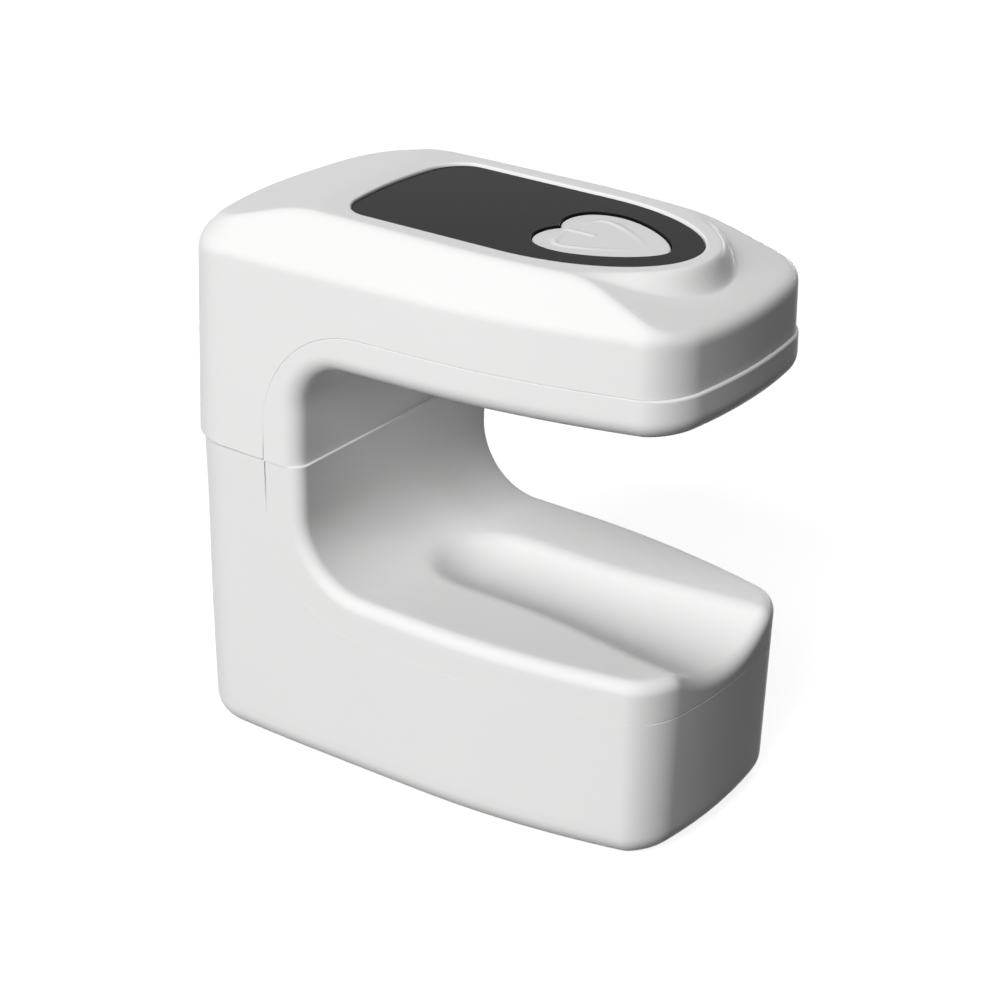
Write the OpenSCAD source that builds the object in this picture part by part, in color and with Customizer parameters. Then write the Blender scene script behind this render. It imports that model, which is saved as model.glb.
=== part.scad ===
// Mini nail lamp: a C-shaped battery lamp for one finger, 60 x 34 x 60 mm.
// Frame: X runs from the back to the open mouth, Y is the width, Z is up,
// with the origin at the bottom centre of the whole lamp. Millimetres.

/* [Body] */
// Length from the back to the nose
body_len = 60; // [59:0.5:61]
// Greatest width, at the height where the two halves meet
body_w = 34; // [33:0.5:35]
// Height of the flat rim round the display window
body_h = 60; // [59.5:0.25:60.5]
// Height at which the upper and lower halves meet
part_z = 34; // [32:0.5:35]
// Wall thickness of the shells
wall = 1.5; // [1.2:0.1:1.8]
// Radius of the rounding under the base
base_r = 2.5; // [1.5:0.5:3]
// How far the rubber feet stand out below the base
foot_out = 0.2; // [0.2:0.1:0.8]

/* [Throat] */
// Place of the throat wall behind the finger
throat_x = -12.3; // [-13:0.1:-11.5]
// How far the upper throat wall is set back behind the lower one
throat_step = 0.35; // [0:0.05:0.6]
// Height of the finger bed at the edge of the throat wall's curve
bed_z = 21; // [20:0.25:22]
// Height of the underside of the upper arm, at the same place
roof_z = 45.5; // [45:0.25:46]
// Radius from the throat wall down to the finger bed
bed_r = 7.4; // [6:0.2:8]
// Radius from the throat wall up to the underside of the upper arm
roof_r = 5.5; // [4:0.25:6]
// Width of the inner liners' visible band along the throat
band = 4.5; // [4:0.25:5]
// Depth of the finger groove at its back end
groove_depth = 1.6; // [1:0.1:2]

/* [Window and button] */
// Half width of the display window
window_hw = 10; // [9:0.25:10.5]
// Back end of the display window
window_back = -13.3; // [-14:0.1:-12]
// Length of the window's half-oval nose
window_nose = 15.8; // [14:0.1:16]
// Depth of the window's face below its rim
window_sink = 0.3; // [0.2:0.1:0.8]
// Thickness of the display window
window_t = 1.2; // [0.8:0.1:1.4]
// Length of the heart key
heart_len = 13.1; // [11:0.1:14]
// Width of the heart key
heart_w = 12.3; // [10:0.1:13]
// Travel of the power button
button_travel = 0.35; // [0.2:0.05:0.5]

/* [Inside] */
// Thickness of the circuit boards
board_t = 1; // [0.8:0.1:1.2]
// Length of the battery
battery_len = 31; // [26:0.5:32]
// Width of the battery
battery_w = 22; // [18:0.5:23]
// Thickness of the battery
battery_t = 8.5; // [6:0.5:8.5]
// Diameter of the wires
wire_d = 1; // [0.8:0.1:1.2]
// Number of light-emitting diodes along the lamp, in two rows
led_count = 4; // [2:1:4]

/* [Hidden] */
$fn = 48;
eps = 0.01;
big = 40;
clearance = 0.15;

// Plan outline: the sides narrow towards both ends, the ends are slightly bowed.
taper_x = 1.6;
taper_k = 0.00535;
back_taper_x = -12;
back_taper_k = 0.0022;
nose_x = body_len / 2 - 0.05;
nose_bow = 0.00875;
back_bow = 0.005;
back_corner_y = 9.6;
back_corner_x = -22.6;
nose_corner_y = 8.6;
nose_corner_x = 25.3;
nose_proud = 0.3;
lower_step = 0.2;
upper_draft = tan(1.1);
lower_draft = tan(1.45);
arc_k = 0.5523;
arm_slope = 0.022;
bed_slope = -0.017;

function half_w(x) = body_w / 2 - taper_k * pow(max(0, x - taper_x), 2)
    - back_taper_k * pow(max(0, back_taper_x - x), 2);
function half_w_slope(x) = -2 * taper_k * max(0, x - taper_x)
    + 2 * back_taper_k * max(0, back_taper_x - x);
function nose_at(y) = nose_x - nose_bow * y * y;
function back_at(y) = -body_len / 2 + back_bow * y * y;

// Where the tangent through p along a meets the tangent through q along b.
function meet(p, a, q, b) =
    let (k = ((q.x - p.x) * b.y - (q.y - p.y) * b.x) / (a.x * b.y - a.y * b.x)) p + k * a;
function bezier(p, h, g, q, t) = pow(1 - t, 3) * p + 3 * t * pow(1 - t, 2) * h
    + 3 * t * t * (1 - t) * g + pow(t, 3) * q;
// The points inside a rounded corner that leaves p along a and reaches q along b.
function corner(p, a, q, b, n) = let (m = meet(p, a, q, b))
    [for (i = [1:n - 1]) bezier(p, p + arc_k * (m - p), q + arc_k * (m - q), q, i / n)];

end_n = 4;
corner_n = 6;
side_n = 11;

// Half of the plan outline, from the middle of the back to the middle of the nose.
half_outline = concat(
    [for (i = [0:end_n]) let (y = back_corner_y * i / end_n) [back_at(y), y]],
    corner([back_at(back_corner_y), back_corner_y], [2 * back_bow * back_corner_y, 1],
           [back_corner_x, half_w(back_corner_x)], [1, half_w_slope(back_corner_x)], corner_n),
    [for (i = [0:side_n])
        let (x = back_corner_x + (nose_corner_x - back_corner_x) * i / side_n) [x, half_w(x)]],
    corner([nose_corner_x, half_w(nose_corner_x)], [1, half_w_slope(nose_corner_x)],
           [nose_at(nose_corner_y), nose_corner_y], [2 * nose_bow * nose_corner_y, -1], corner_n),
    [for (i = [end_n:-1:0]) let (y = nose_corner_y * i / end_n) [nose_at(y), y]]);

// Half of the window's outline, with the same number of points.
window_corner_y = 6.2;
window_corner_x = -9.2;
window_bow = 0.012;
window_nose_x = 7;
nose_n = corner_n + end_n;
half_window = concat(
    [for (i = [0:end_n]) let (y = window_corner_y * i / end_n)
        [window_back + window_bow * y * y, y]],
    corner([window_back + window_bow * pow(window_corner_y, 2), window_corner_y],
           [2 * window_bow * window_corner_y, 1], [window_corner_x, window_hw], [1, 0], corner_n),
    [for (i = [0:side_n])
        [window_corner_x + (window_nose_x - window_corner_x) * i / side_n, window_hw]],
    [for (i = [1:nose_n]) let (a = 90 * (1 - i / nose_n))
        [window_nose_x + window_nose * cos(a), window_hw * sin(a)]]);

function whole(half) = concat([for (p = half) [p.x, -p.y]],
                              [for (i = [len(half) - 2:-1:1]) half[i]]);
outline = whole(half_outline);
window = whole(half_window);
ring_n = len(outline);

// Unit vectors that point inwards, square to a closed outline.
function inward(pts) = [for (i = [0:len(pts) - 1])
    let (d = pts[(i + 1) % len(pts)] - pts[(i + len(pts) - 1) % len(pts)])
        [-d.y, d.x] / norm(d)];
outline_in = inward(outline);
window_in = inward(window);

function draft_at(z) = z > part_z ? (z - part_z) * upper_draft
    : lower_step + (part_z - z) * lower_draft;
// The nose of the upper liner stands a little proud of the shell above it.
proud_x = 20;
proud_run = 8;
function proud_at(x, proud) = proud * min(1, max(0, (x - proud_x) / proud_run));
function ring(inset, z, proud = 0) = [for (i = [0:ring_n - 1])
    let (p = outline[i] + inset * outline_in[i]) [p.x + proud_at(p.x, proud), p.y, z]];

// Skin over a stack of rings with equal numbers of points, closed at both ends.
module loft(rings) {
    n = len(rings[0]);
    m = len(rings);
    polyhedron(
        points = [for (r = rings) for (p = r) p],
        faces = concat(
            [[for (i = [0:n - 1]) i]],
            [for (k = [0:m - 2]) for (i = [0:n - 1]) let (j = (i + 1) % n)
                [k * n + i, (k + 1) * n + i, (k + 1) * n + j]],
            [for (k = [0:m - 2]) for (i = [0:n - 1]) let (j = (i + 1) % n)
                [k * n + i, (k + 1) * n + j, k * n + j]],
            [[for (i = [n - 1:-1:0]) (m - 1) * n + i]]),
        convexity = 8);
}

// Top of the lamp: a deck that falls away to the nose and to the back, a raised
// rim round the window, and shoulders that climb at 45 degrees from the side walls.
deck_z = body_h - 0.5;
deck_back_x = -13.5;
deck_nose_x = 15;
deck_blend = 5;
deck_back_slope = 0.27;
deck_nose_slope = 0.3;
deck_crown = 0.6;
shoulder_z = body_h - 4.25;
shoulder_slope = 0.02;
rim_w = 1.4;
rim_foot = 3.8;

function ease(t) = t < 0 ? 0 : t < deck_blend ? t * t / (2 * deck_blend) : t - deck_blend / 2;
function deck_at(x, y) = deck_z - deck_back_slope * ease(deck_back_x - x)
    - deck_nose_slope * ease(x - deck_nose_x) + deck_crown * (1 - pow(y * 2 / body_w, 2));
function rim_share(r) = r < rim_w ? 1 : r > rim_foot ? 0
    : (1 + cos(180 * (r - rim_w) / (rim_foot - rim_w))) / 2;
function gap_to(p, pts) = min([for (q = pts) norm([q.x - p.x, q.y - p.y])]);
function plateau_at(p) = let (d = deck_at(p.x, p.y))
    d + (body_h - d) * rim_share(gap_to(p, window));
function shoulder_at(p, edge) = shoulder_z + shoulder_slope * p.x + edge;

edge_inset = draft_at(shoulder_z);
// The point a share t of the way from the outer edge to the window, on ray i.
function edge_point(i, extra) = outline[i] + (edge_inset + extra) * outline_in[i];
function ray_point(i, t, extra = 0) = edge_point(i, extra) * (1 - t) + window[i] * t;
function top_point(i, t, extra, drop, limit) =
    let (p = ray_point(i, t, extra), edge = t * norm(window[i] - edge_point(i, extra)) + extra)
    [p.x, p.y, min(limit, plateau_at(p) - drop, shoulder_at(p, edge) - drop)];
// The share at which the shoulder meets the plateau, found by halving.
function crease(i, low = 0, high = 1, n = 8) = let (t = (low + high) / 2, p = ray_point(i, t))
    n == 0 ? max(0.04, t)
    : shoulder_at(p, t * norm(window[i] - edge_point(i, 0))) > plateau_at(p)
        ? crease(i, low, t, n - 1) : crease(i, t, high, n - 1);
creases = [for (i = [0:ring_n - 1]) crease(i)];

// Shares of the way across the top at which its rings lie, and the skin's thickness
arm_mid_z = 52;
shoulder_shares = [0, 0.5];
deck_shares = [0, 0.12, 0.26, 0.4, 0.54, 0.68, 0.82, 1];
hollow_shares = [0, 0.3, 0.6, 1];
roof_t = 1.9;
seat_t = 0.9;
ceiling_z = body_h - window_sink - window_t - seat_t;

function shoulder_ring(k) = [for (i = [0:ring_n - 1]) top_point(i, k * creases[i], 0, 0, body_h)];
function deck_ring(k) = [for (i = [0:ring_n - 1])
    top_point(i, creases[i] + k * (1 - creases[i]), 0, 0, body_h)];
function ceiling_ring(t) = [for (i = [0:ring_n - 1]) top_point(i, t, wall, roof_t, ceiling_z)];

module upper_block(proud = 0) {
    loft(concat([for (z = [part_z, roof_z, arm_mid_z]) ring(draft_at(z + eps), z, proud)],
                [for (k = shoulder_shares) shoulder_ring(k)],
                [for (k = deck_shares) deck_ring(k)]));
}
module upper_hollow() {
    loft(concat([ring(wall, part_z - 1), ring(draft_at(arm_mid_z) + wall, arm_mid_z)],
                [for (t = hollow_shares) ceiling_ring(t)]));
}

// Lower half: rounded under the base, with a chamfer inside that follows the rounding.
base_z = foot_out;
floor_z = base_z + wall + 0.1;
floor_chamfer = 1.6;
module lower_block() {
    loft(concat([for (a = [0:22.5:90]) let (z = base_z + base_r * (1 - cos(a)))
                     ring(draft_at(z) + base_r * (1 - sin(a)), z)],
                [ring(draft_at(part_z - eps), part_z)]));
}
module lower_hollow() {
    loft([ring(draft_at(floor_z) + wall + floor_chamfer, floor_z),
          ring(draft_at(floor_z + floor_chamfer) + wall, floor_z + floor_chamfer),
          ring(draft_at(part_z - eps) + wall, part_z + 1)]);
}

// Side-view outlines of the throat. The offset t moves the line into the body.
arc_n = 12;
roof_x = throat_x - throat_step + roof_r;
bed_x = throat_x + bed_r;
function roof_line(t) = let (r = roof_r + t, z = roof_z - roof_r) concat(
    [[throat_x - throat_step - t, 0]],
    [for (i = [0:arc_n]) let (a = 180 - 90 * i / arc_n) [roof_x + r * cos(a), z + r * sin(a)]],
    [[big, z + r + arm_slope * (big - roof_x)]], [[big, 0]]);
function bed_line(t) = let (r = bed_r + t, z = bed_z + bed_r) concat(
    [[throat_x - t, body_h]],
    [for (i = [0:arc_n]) let (a = 180 + 90 * i / arc_n) [bed_x + r * cos(a), z + r * sin(a)]],
    [[big, z - r + bed_slope * (big - bed_x)]], [[big, body_h]]);
module across(pts) {
    rotate([90, 0, 0]) linear_extrude(2 * big, center = true) polygon(pts);
}

// The upper seam turns wider than a parallel line, so the band narrows at its corner.
seam_x = throat_x - band;
seam_r = 12;
seam_drop = 0.25;
seam_z = roof_z + band - seam_drop;
seam_arc_x = seam_x + seam_r;
upper_seam = concat(
    [[seam_x, 0]],
    [for (i = [0:arc_n]) let (a = 180 - 90 * i / arc_n)
        [seam_arc_x + seam_r * cos(a), seam_z - seam_r + seam_r * sin(a)]],
    [[big, seam_z + arm_slope * (big - seam_arc_x)]], [[big, 0]]);

// Rounded plate along the X range, with half width hw and corner radius r.
module slab(x, hw, r, z0, z1) {
    translate([0, 0, z0]) linear_extrude(z1 - z0) union() {
        translate([x[0] + r, -hw]) square([x[1] - x[0] - 2 * r, 2 * hw]);
        translate([x[0], -hw + r]) square([x[1] - x[0], 2 * hw - 2 * r]);
        for (cx = [x[0] + r, x[1] - r], cy = [-hw + r, hw - r]) translate([cx, cy]) circle(r);
    }
}
module rod(x, y, z0, z1, r) {
    translate([x, y, z0]) cylinder(h = z1 - z0, r = r);
}
// A brick that stands on the given point, centred on it in plan.
module brick(size, at) {
    translate(at - [size.x / 2, size.y / 2, 0]) cube(size);
}

// Heart in plan: two rounded lobes and two long curves to the tip. g widens it.
heart_x = 6.6;
heart_notch = 0.85;
heart_tip = heart_x + heart_len;
heart_n = 10;
function half_heart(g) = let (w = heart_w / 2 + g, x = heart_x - g, notch = [x + heart_notch, 0],
                              shoulder = [x + 4.1, w], tip = [heart_tip + 1.1 * g, 0])
    concat([notch],
           [for (i = [1:heart_n])
               bezier(notch, [x - 0.9, 1.9], [x - 0.5, w], shoulder, i / heart_n)],
           [for (i = [1:heart_n])
               bezier(shoulder, [x + 7.6, w], [tip.x - 0.1, 2.6], tip, i / heart_n)]);
function heart(g) = whole(half_heart(g));

window_z = body_h - window_sink;
window_bottom = window_z - window_t;
key_sink = 0.15;
key_top = window_z - key_sink;
flange_t = 1;
flange_w = 1;
key_bottom = ceiling_z - flange_t;
switch_x = 12.5;

// Boards and lens: range along the lamp, half width and height of the underside
control_x = [-14, 26];
control_hw = 9.5;
control_z = 52.5;
control_top = control_z + board_t;
led_x = [-10.2, 26.6];
led_hw = 9.4;
led_z = 50.2;
lens_x = [-5, 22];
lens_hw = 10;
lens_r = 3;
lens_z = 47.85;
lens_lip = 1.3;
lens_lip_t = 0.8;
lens_face_z = roof_z + 1;
charge_x = [-27.2, -14.2];
charge_hw = 5.9;
charge_z = 5;
charge_top = charge_z + board_t;

// Fasteners, bosses and stakes
stake_spots = [[-8.5, 8], [-8.5, -8], [25.2, 4], [25.2, -4]];
stake_r = 0.8;
board_screw_spots = [[-12.2, 7.5], [-12.2, -7.5], [23.8, 0]];
board_boss_r = 1.8;
board_screw_r = 0.8;
board_screw_len = 4;
board_head_r = 1.5;
board_head_t = 0.9;
rear_screw = [-22.5, 9.5];
front_screw = [22.8, 6.2];
rear_seat = 29;
front_seat = 5;
rear_boss_top = 56.4;
front_boss_z = 8;
screw_len = 10;
screw_r = 1.1;
thread_bite = 0.2;
head_r = 1.9;
head_t = 1.4;
boss_r = 2.7;
post_r = boss_r + 0.4;
hole_gap = 0.15;
head_gap = 0.3;
foot_r = 3.4;
foot_t = 1.2;
foot_gap = 0.1;

// Charging socket
usb_w = 8.94;
usb_h = 3.26;
usb_len = 7.3;
usb_x = -28.9;
usb_z = charge_top + usb_h / 2;
usb_wall = 0.3;
usb_gap = 0.25;
usb_cut_x = -26;
rail_y = 4.6;
rail_t = 1.2;

// Display behind the window: the frame, the opening above it and two digit panes
display_size = [14, 12.8];
display_at = [-2.5, 0];
display_gap = 0.3;
display_open = [-8.5, 3.5];
display_open_hw = 5.5;
digit = [3.2, 6, 0.2];
digit_x = [-5.6, 0.6];

// Upper half of the case
module upper_shell() {
    color("white") difference() {
        union() {
            difference() {
                upper_block();
                upper_hollow();
            }
            for (s = [-1, 1])
                rod(rear_screw.x, s * rear_screw.y, part_z, rear_boss_top, boss_r);
            for (p = board_screw_spots)
                rod(p.x, p.y, control_top, ceiling_z - (p.x > 0 ? 0.2 : -0.4), board_boss_r);
        }
        across(upper_seam);
        for (s = [-1, 1])
            rod(rear_screw.x, s * rear_screw.y, part_z - 1, rear_seat + screw_len + 0.5,
                screw_r - thread_bite);
        for (p = board_screw_spots)
            rod(p.x, p.y, control_top - 1, control_z + board_screw_len + 0.4,
                board_screw_r - thread_bite + 0.05);
        translate([0, 0, window_bottom]) linear_extrude(big) polygon(window);
        translate([0, 0, ceiling_z - 1]) linear_extrude(big) polygon(heart(clearance));
        slab(display_open, display_open_hw, 0.8, ceiling_z - 1, body_h);
    }
}

// Inner liner of the upper half: throat wall and underside in one piece
module upper_liner() {
    color("white") difference() {
        union() {
            difference() {
                intersection() {
                    upper_block(nose_proud);
                    across(upper_seam);
                }
                across(roof_line(0));
                difference() {
                    upper_hollow();
                    across(roof_line(wall));
                }
            }
            for (p = stake_spots)
                rod(p.x, p.y, roof_z + wall - 0.2, led_z + board_t + 0.5, stake_r);
        }
        slab(lens_x, lens_hw, lens_r, roof_z - 3, lens_z);
    }
}

// Lower half of the case: the tub that holds the battery
module lower_shell() {
    color("white") difference() {
        union() {
            difference() {
                lower_block();
                lower_hollow();
                across(bed_line(band));
            }
            for (s = [-1, 1]) {
                rod(rear_screw.x, s * rear_screw.y, base_z + 0.5, part_z, post_r);
                rod(front_screw.x, s * front_screw.y, base_z + 0.5, front_boss_z, post_r);
                brick([charge_x[1] - charge_x[0], rail_t, charge_z - floor_z + 0.3],
                      [(charge_x[0] + charge_x[1]) / 2, s * rail_y, floor_z - 0.3]);
            }
        }
        for (s = [-1, 1]) {
            screw_way(rear_screw.x, s * rear_screw.y, rear_seat);
            screw_way(front_screw.x, s * front_screw.y, front_seat);
        }
        translate([-big, 0, usb_z]) rotate([90, 0, 90]) linear_extrude(big + usb_cut_x)
            capsule(usb_w + 2 * usb_gap, usb_h + 2 * usb_gap);
    }
}
// Way of one case screw: the head's well below its seat, the shank's hole and the foot's dish
module screw_way(x, y, seat) {
    rod(x, y, base_z - 1, seat, head_r + head_gap);
    rod(x, y, base_z - 1, seat + 6, screw_r + hole_gap);
    rod(x, y, base_z - 1, foot_t, foot_r + foot_gap);
}

// Inner liner of the lower half: throat wall and finger bed in one piece
groove_hw = 6.4;
groove_r = (pow(groove_hw, 2) + pow(groove_depth, 2)) / (2 * groove_depth);
groove_x = 0.5;
groove_tilt = 1.7;
groove_z = bed_z - groove_depth + groove_r;
groove_top = 3;
// The cutter is a cylinder along the bed with a ball end. It stops a little above the bed,
// so that the ball's upper half doesn't reach the throat wall.
module groove(t) {
    r = groove_r + t;
    intersection() {
        translate([groove_x, 0, groove_z]) rotate([0, 90 + groove_tilt, 0]) rotate(180)
            rotate_extrude($fn = 120) {
                square([r, big]);
                intersection() {
                    circle(r);
                    translate([0, -r]) square([r, 2 * r]);
                }
            }
        brick([3 * big, 2 * big, bed_z + groove_top], [0, 0, 0]);
    }
}
module lower_liner() {
    color("white") difference() {
        union() {
            difference() {
                intersection() {
                    lower_block();
                    across(bed_line(band));
                }
                across(bed_line(0));
                difference() {
                    lower_hollow();
                    across(bed_line(wall));
                    groove(wall);
                }
            }
            for (s = [-1, 1])
                rod(front_screw.x, s * front_screw.y, front_boss_z, bed_z - wall, boss_r);
        }
        groove(0);
        for (s = [-1, 1])
            rod(front_screw.x, s * front_screw.y, front_boss_z - 1, front_seat + screw_len + 0.4,
                screw_r - thread_bite);
    }
}

// Window: fits its rim with a little play, and the heart key passes through it
window_play = 0.05;
module display_window() {
    color([0.03, 0.03, 0.035]) translate([0, 0, window_bottom]) linear_extrude(window_t)
        difference() {
            polygon([for (i = [0:ring_n - 1]) window[i] + window_play * window_in[i]]);
            polygon(heart(clearance));
        }
}

// Heart key, with a flange that holds it under the case and a raised power symbol
ridge_w = 0.55;
ridge_h = 0.12;
ridge_n = 16;
stroke = [8.2, 11.2];
ridge_start = [8.9, -1.5];
ridge_mid = [10.9, -4.1];
ridge_end = [17, -0.3];
function ridge_curve(t) = t < 0.5
    ? bezier(ridge_start, [8.6, -3.6], [9.4, -4.6], ridge_mid, 2 * t)
    : bezier(ridge_mid, [12.6, -3.6], [15.2, -2.2], ridge_end, 2 * t - 1);
function ridge_arc(s) = [for (i = [0:ridge_n])
    let (p = ridge_curve(i / ridge_n)) [p.x, s * p.y]];
module ridge(pts) {
    last = len(pts) - 1;
    side = [for (i = [0:last])
        let (d = pts[min(i + 1, last)] - pts[max(i - 1, 0)]) [-d.y, d.x] / norm(d)];
    polygon(concat([for (i = [0:last]) pts[i] + ridge_w / 2 * side[i]],
                   [for (i = [last:-1:0]) pts[i] - ridge_w / 2 * side[i]]));
    for (p = [pts[0], pts[last]]) translate(p) circle(d = ridge_w);
}
module power_button() {
    color("white") union() {
        translate([0, 0, key_bottom]) linear_extrude(flange_t) polygon(heart(flange_w));
        translate([0, 0, key_bottom]) linear_extrude(key_top - ridge_h - key_bottom)
            polygon(heart(0));
        translate([0, 0, key_top - ridge_h - eps]) linear_extrude(ridge_h + eps) {
            for (s = [-1, 1]) ridge(ridge_arc(s));
            ridge([for (x = stroke) [x, 0]]);
        }
    }
}

module control_board() {
    color("darkgreen") difference() {
        slab(control_x, control_hw, 1.5, control_z, control_top);
        for (p = board_screw_spots)
            rod(p.x, p.y, control_z - 1, control_top + 1, board_screw_r + hole_gap);
    }
}

// Control chip: eight-pin package
chip_size = [5, 3.9, 1.4];
chip_at = [20, 5.4];
chip_lift = 0.1;
pin_size = [0.4, 0.8, 0.6];
pin_pitch = 1.2;
module control_chip() {
    color("black") {
        brick(chip_size, [chip_at.x, chip_at.y, control_top + chip_lift]);
        for (i = [-1.5:1.5], s = [-1, 1])
            brick(pin_size, [chip_at.x + pin_pitch * i,
                             chip_at.y + s * (chip_size.y + pin_size.y) / 2, control_top]);
    }
}

// Small parts on the control board: two rows of resistors and an inductor
resistor_size = [1.6, 0.8, 0.6];
resistor_pitch = 2.6;
resistor_x = -3.2;
resistor_y = 7.8;
inductor_at = [20, -5.4];
inductor_r = 1.9;
inductor_h = 1.8;
module board_parts() {
    color("tan") for (i = [0:4], s = [-1, 1])
        brick(resistor_size, [resistor_x + resistor_pitch * i, s * resistor_y, control_top]);
    color("silver")
        rod(inductor_at.x, inductor_at.y, control_top, control_top + inductor_h, inductor_r);
}

// Push switch under the button: body, plunger and the snap dome between them
switch_size = [6, 6, 1.8];
switch_skin = 0.4;
cavity_r = 2.3;
plunger_r = 1.5;
plunger_play = 0.05;
contact_gap = 0.02;
dome_r = 2.1;
dome_h = button_travel + 0.1;
dome_t = 0.12;
dome_n = 8;
dome_lift = switch_skin + 0.01;
dome_z = control_top + dome_lift;
plunger_lift = dome_lift + dome_h + dome_t + contact_gap;
module switch_body() {
    color("black") difference() {
        brick(switch_size, [switch_x, 0, control_top]);
        rod(switch_x, 0, control_top + switch_skin, control_top + switch_size.z - switch_skin,
            cavity_r);
        rod(switch_x, 0, control_top + switch_skin, control_top + switch_size.z + 1,
            plunger_r + plunger_play);
    }
}
module switch_plunger() {
    color("ivory")
        rod(switch_x, 0, control_top + plunger_lift, key_bottom - contact_gap, plunger_r);
}
module switch_dome() {
    dome = [for (i = [0:dome_n]) [dome_r * i / dome_n, dome_h * (1 - pow(i / dome_n, 2))]];
    color("silver") translate([switch_x, 0, dome_z]) rotate_extrude()
        polygon(concat(dome, [for (i = [dome_n:-1:0]) dome[i] + [0, dome_t]]));
}

module display_module() {
    color([0.85, 0.85, 0.82]) union() {
        brick([display_size.x, display_size.y, ceiling_z - display_gap - control_top],
              [display_at.x, display_at.y, control_top]);
        for (x = digit_x) brick(digit, [x, 0, ceiling_z - display_gap - 0.1]);
    }
}

module led_board() {
    color("gainsboro") difference() {
        slab(led_x, led_hw, 1, led_z, led_z + board_t);
        for (p = stake_spots) rod(p.x, p.y, led_z - 1, led_z + 2, stake_r + 0.05);
    }
}

// Light-emitting diodes: a square white package with a domed lens below it
bead_size = [3.5, 3.5, 0.5];
bead_y = 4.6;
bead_dome_r = 1.2;
bead_dome_drop = 0.3;
module led_beads() {
    pitch = (lens_x[1] - lens_x[0] - 2 * bead_size.x) / (led_count - 1);
    for (i = [0:led_count - 1], s = [-1, 1])
        translate([lens_x[0] + bead_size.x + pitch * i, s * bead_y, led_z]) {
            color("white") brick(bead_size, [0, 0, -bead_size.z]);
            color("khaki") intersection() {
                translate([0, 0, -bead_dome_drop]) sphere(bead_dome_r);
                brick([4, 4, 2], [0, 0, -bead_size.z + 0.1 - 2]);
            }
        }
}

// Clear lens: a lip that lies on the liner and a plug that fills the liner's opening
module lamp_lens() {
    color([0.9, 0.95, 1, 0.5]) union() {
        slab(lens_x + [clearance, -clearance], lens_hw - clearance, lens_r - clearance,
             lens_face_z, lens_z + 0.5);
        slab(lens_x + [-lens_lip, lens_lip], lens_hw + lens_lip, lens_r + 0.5,
             lens_z, lens_z + lens_lip_t);
    }
}

// Battery: a pouch with a sealed edge at the end where its leads come out
battery_x = -12;
battery_pad_t = 0.9;
battery_z = floor_z + battery_pad_t;
pouch_seal = 1.5;
module battery_cell() {
    color("silver") union() {
        slab([battery_x + pouch_seal, battery_x + battery_len], battery_w / 2, 1.2,
             battery_z, battery_z + battery_t);
        brick([2, battery_w - 2 * pouch_seal, battery_t - 4.4],
              [battery_x + 1, 0, battery_z + 2]);
    }
}
module battery_pad() {
    color("dimgray") slab([battery_x + 4, battery_x + battery_len - 3], battery_w / 2 - 3, 1,
                          floor_z, battery_z);
}

// Wires as tubes swept along points, each ring square to the path
wire_sides = 8;
function unit(v) = v / norm(v);
function wire_ring(p, t) = let (u = unit(cross(t, [0, 1, 0.02])), v = cross(t, u))
    [for (k = [0:wire_sides - 1]) let (a = 360 * k / wire_sides)
        p + wire_d / 2 * (cos(a) * u + sin(a) * v)];
module wire(path) {
    last = len(path) - 1;
    loft([for (i = [0:last])
        wire_ring(path[i], unit(path[min(i + 1, last)] - path[max(i - 1, 0)]))]);
}
function curve(p, h, g, q, n) = [for (i = [0:n]) bezier(p, h, g, q, i / n)];
module battery_leads() {
    for (s = [-1, 1]) color(s < 0 ? "red" : "black")
        wire(curve([battery_x, 2 * s, 8], [-14, 2 * s, 8], [-16, 2 * s, 9.5],
                   [-16, 2 * s, charge_top], 10));
}
module power_leads() {
    for (s = [-1, 1]) color(s < 0 ? "red" : "black")
        wire(concat(curve([-18.5, 3 * s, charge_top], [-18.5, 3 * s, 12], [-21, 2 * s, 16],
                          [-21, 2 * s, 24], 8),
                    curve([-21, 2 * s, 40], [-21, 2 * s, 48], [-19.5, 3 * s, 53],
                          [control_x[0], 3 * s, 53], 8)));
}
module led_leads() {
    for (s = [-1, 1]) color(s < 0 ? "red" : "black")
        wire(curve([-12, 5 * s, control_z], [-12, 5 * s, 51.2], [-11.6, 5 * s, 50.7],
                   [led_x[0], 5 * s, 50.7], 6));
}

// Charging board with its chip and three capacitors
charge_chip = [3.6, 3.2, 1.1];
charge_chip_x = -19;
capacitor = [1.2, 0.8, 0.6];
capacitor_y = 4.6;
module charge_board() {
    color("darkgreen") slab(charge_x, charge_hw, 0.8, charge_z, charge_top);
}
module charge_parts() {
    color("black") brick(charge_chip, [charge_chip_x, 0, charge_top]);
    color("tan") for (x = [-20, -18.2, -16.4]) brick(capacitor, [x, capacitor_y, charge_top]);
}

// USB-C socket: a rounded metal shell with a tongue on its middle plane
module capsule(w, h) {
    square([w - h, h], center = true);
    for (s = [-1, 1]) translate([s * (w - h) / 2, 0]) circle(d = h);
}
module usb_shell() {
    color("silver") translate([usb_x, 0, usb_z]) rotate([90, 0, 90]) difference() {
        linear_extrude(usb_len) capsule(usb_w, usb_h);
        translate([0, 0, -1]) linear_extrude(usb_len + 0.2)
            capsule(usb_w - 2 * usb_wall, usb_h - 2 * usb_wall);
    }
}
tongue_size = [5.7, 6.7, 0.7];
tongue_x = usb_x + 0.8;
plug_len = 1.4;
plug_gap = 0.02;
module usb_tongue() {
    plug_inset = 2 * (usb_wall + plug_gap);
    color("black") union() {
        brick(tongue_size, [tongue_x + tongue_size.x / 2, 0, usb_z - tongue_size.z / 2]);
        translate([tongue_x + tongue_size.x - plug_len, 0, usb_z]) rotate([90, 0, 90])
            linear_extrude(plug_len) capsule(usb_w - plug_inset, usb_h - plug_inset);
    }
}

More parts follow.
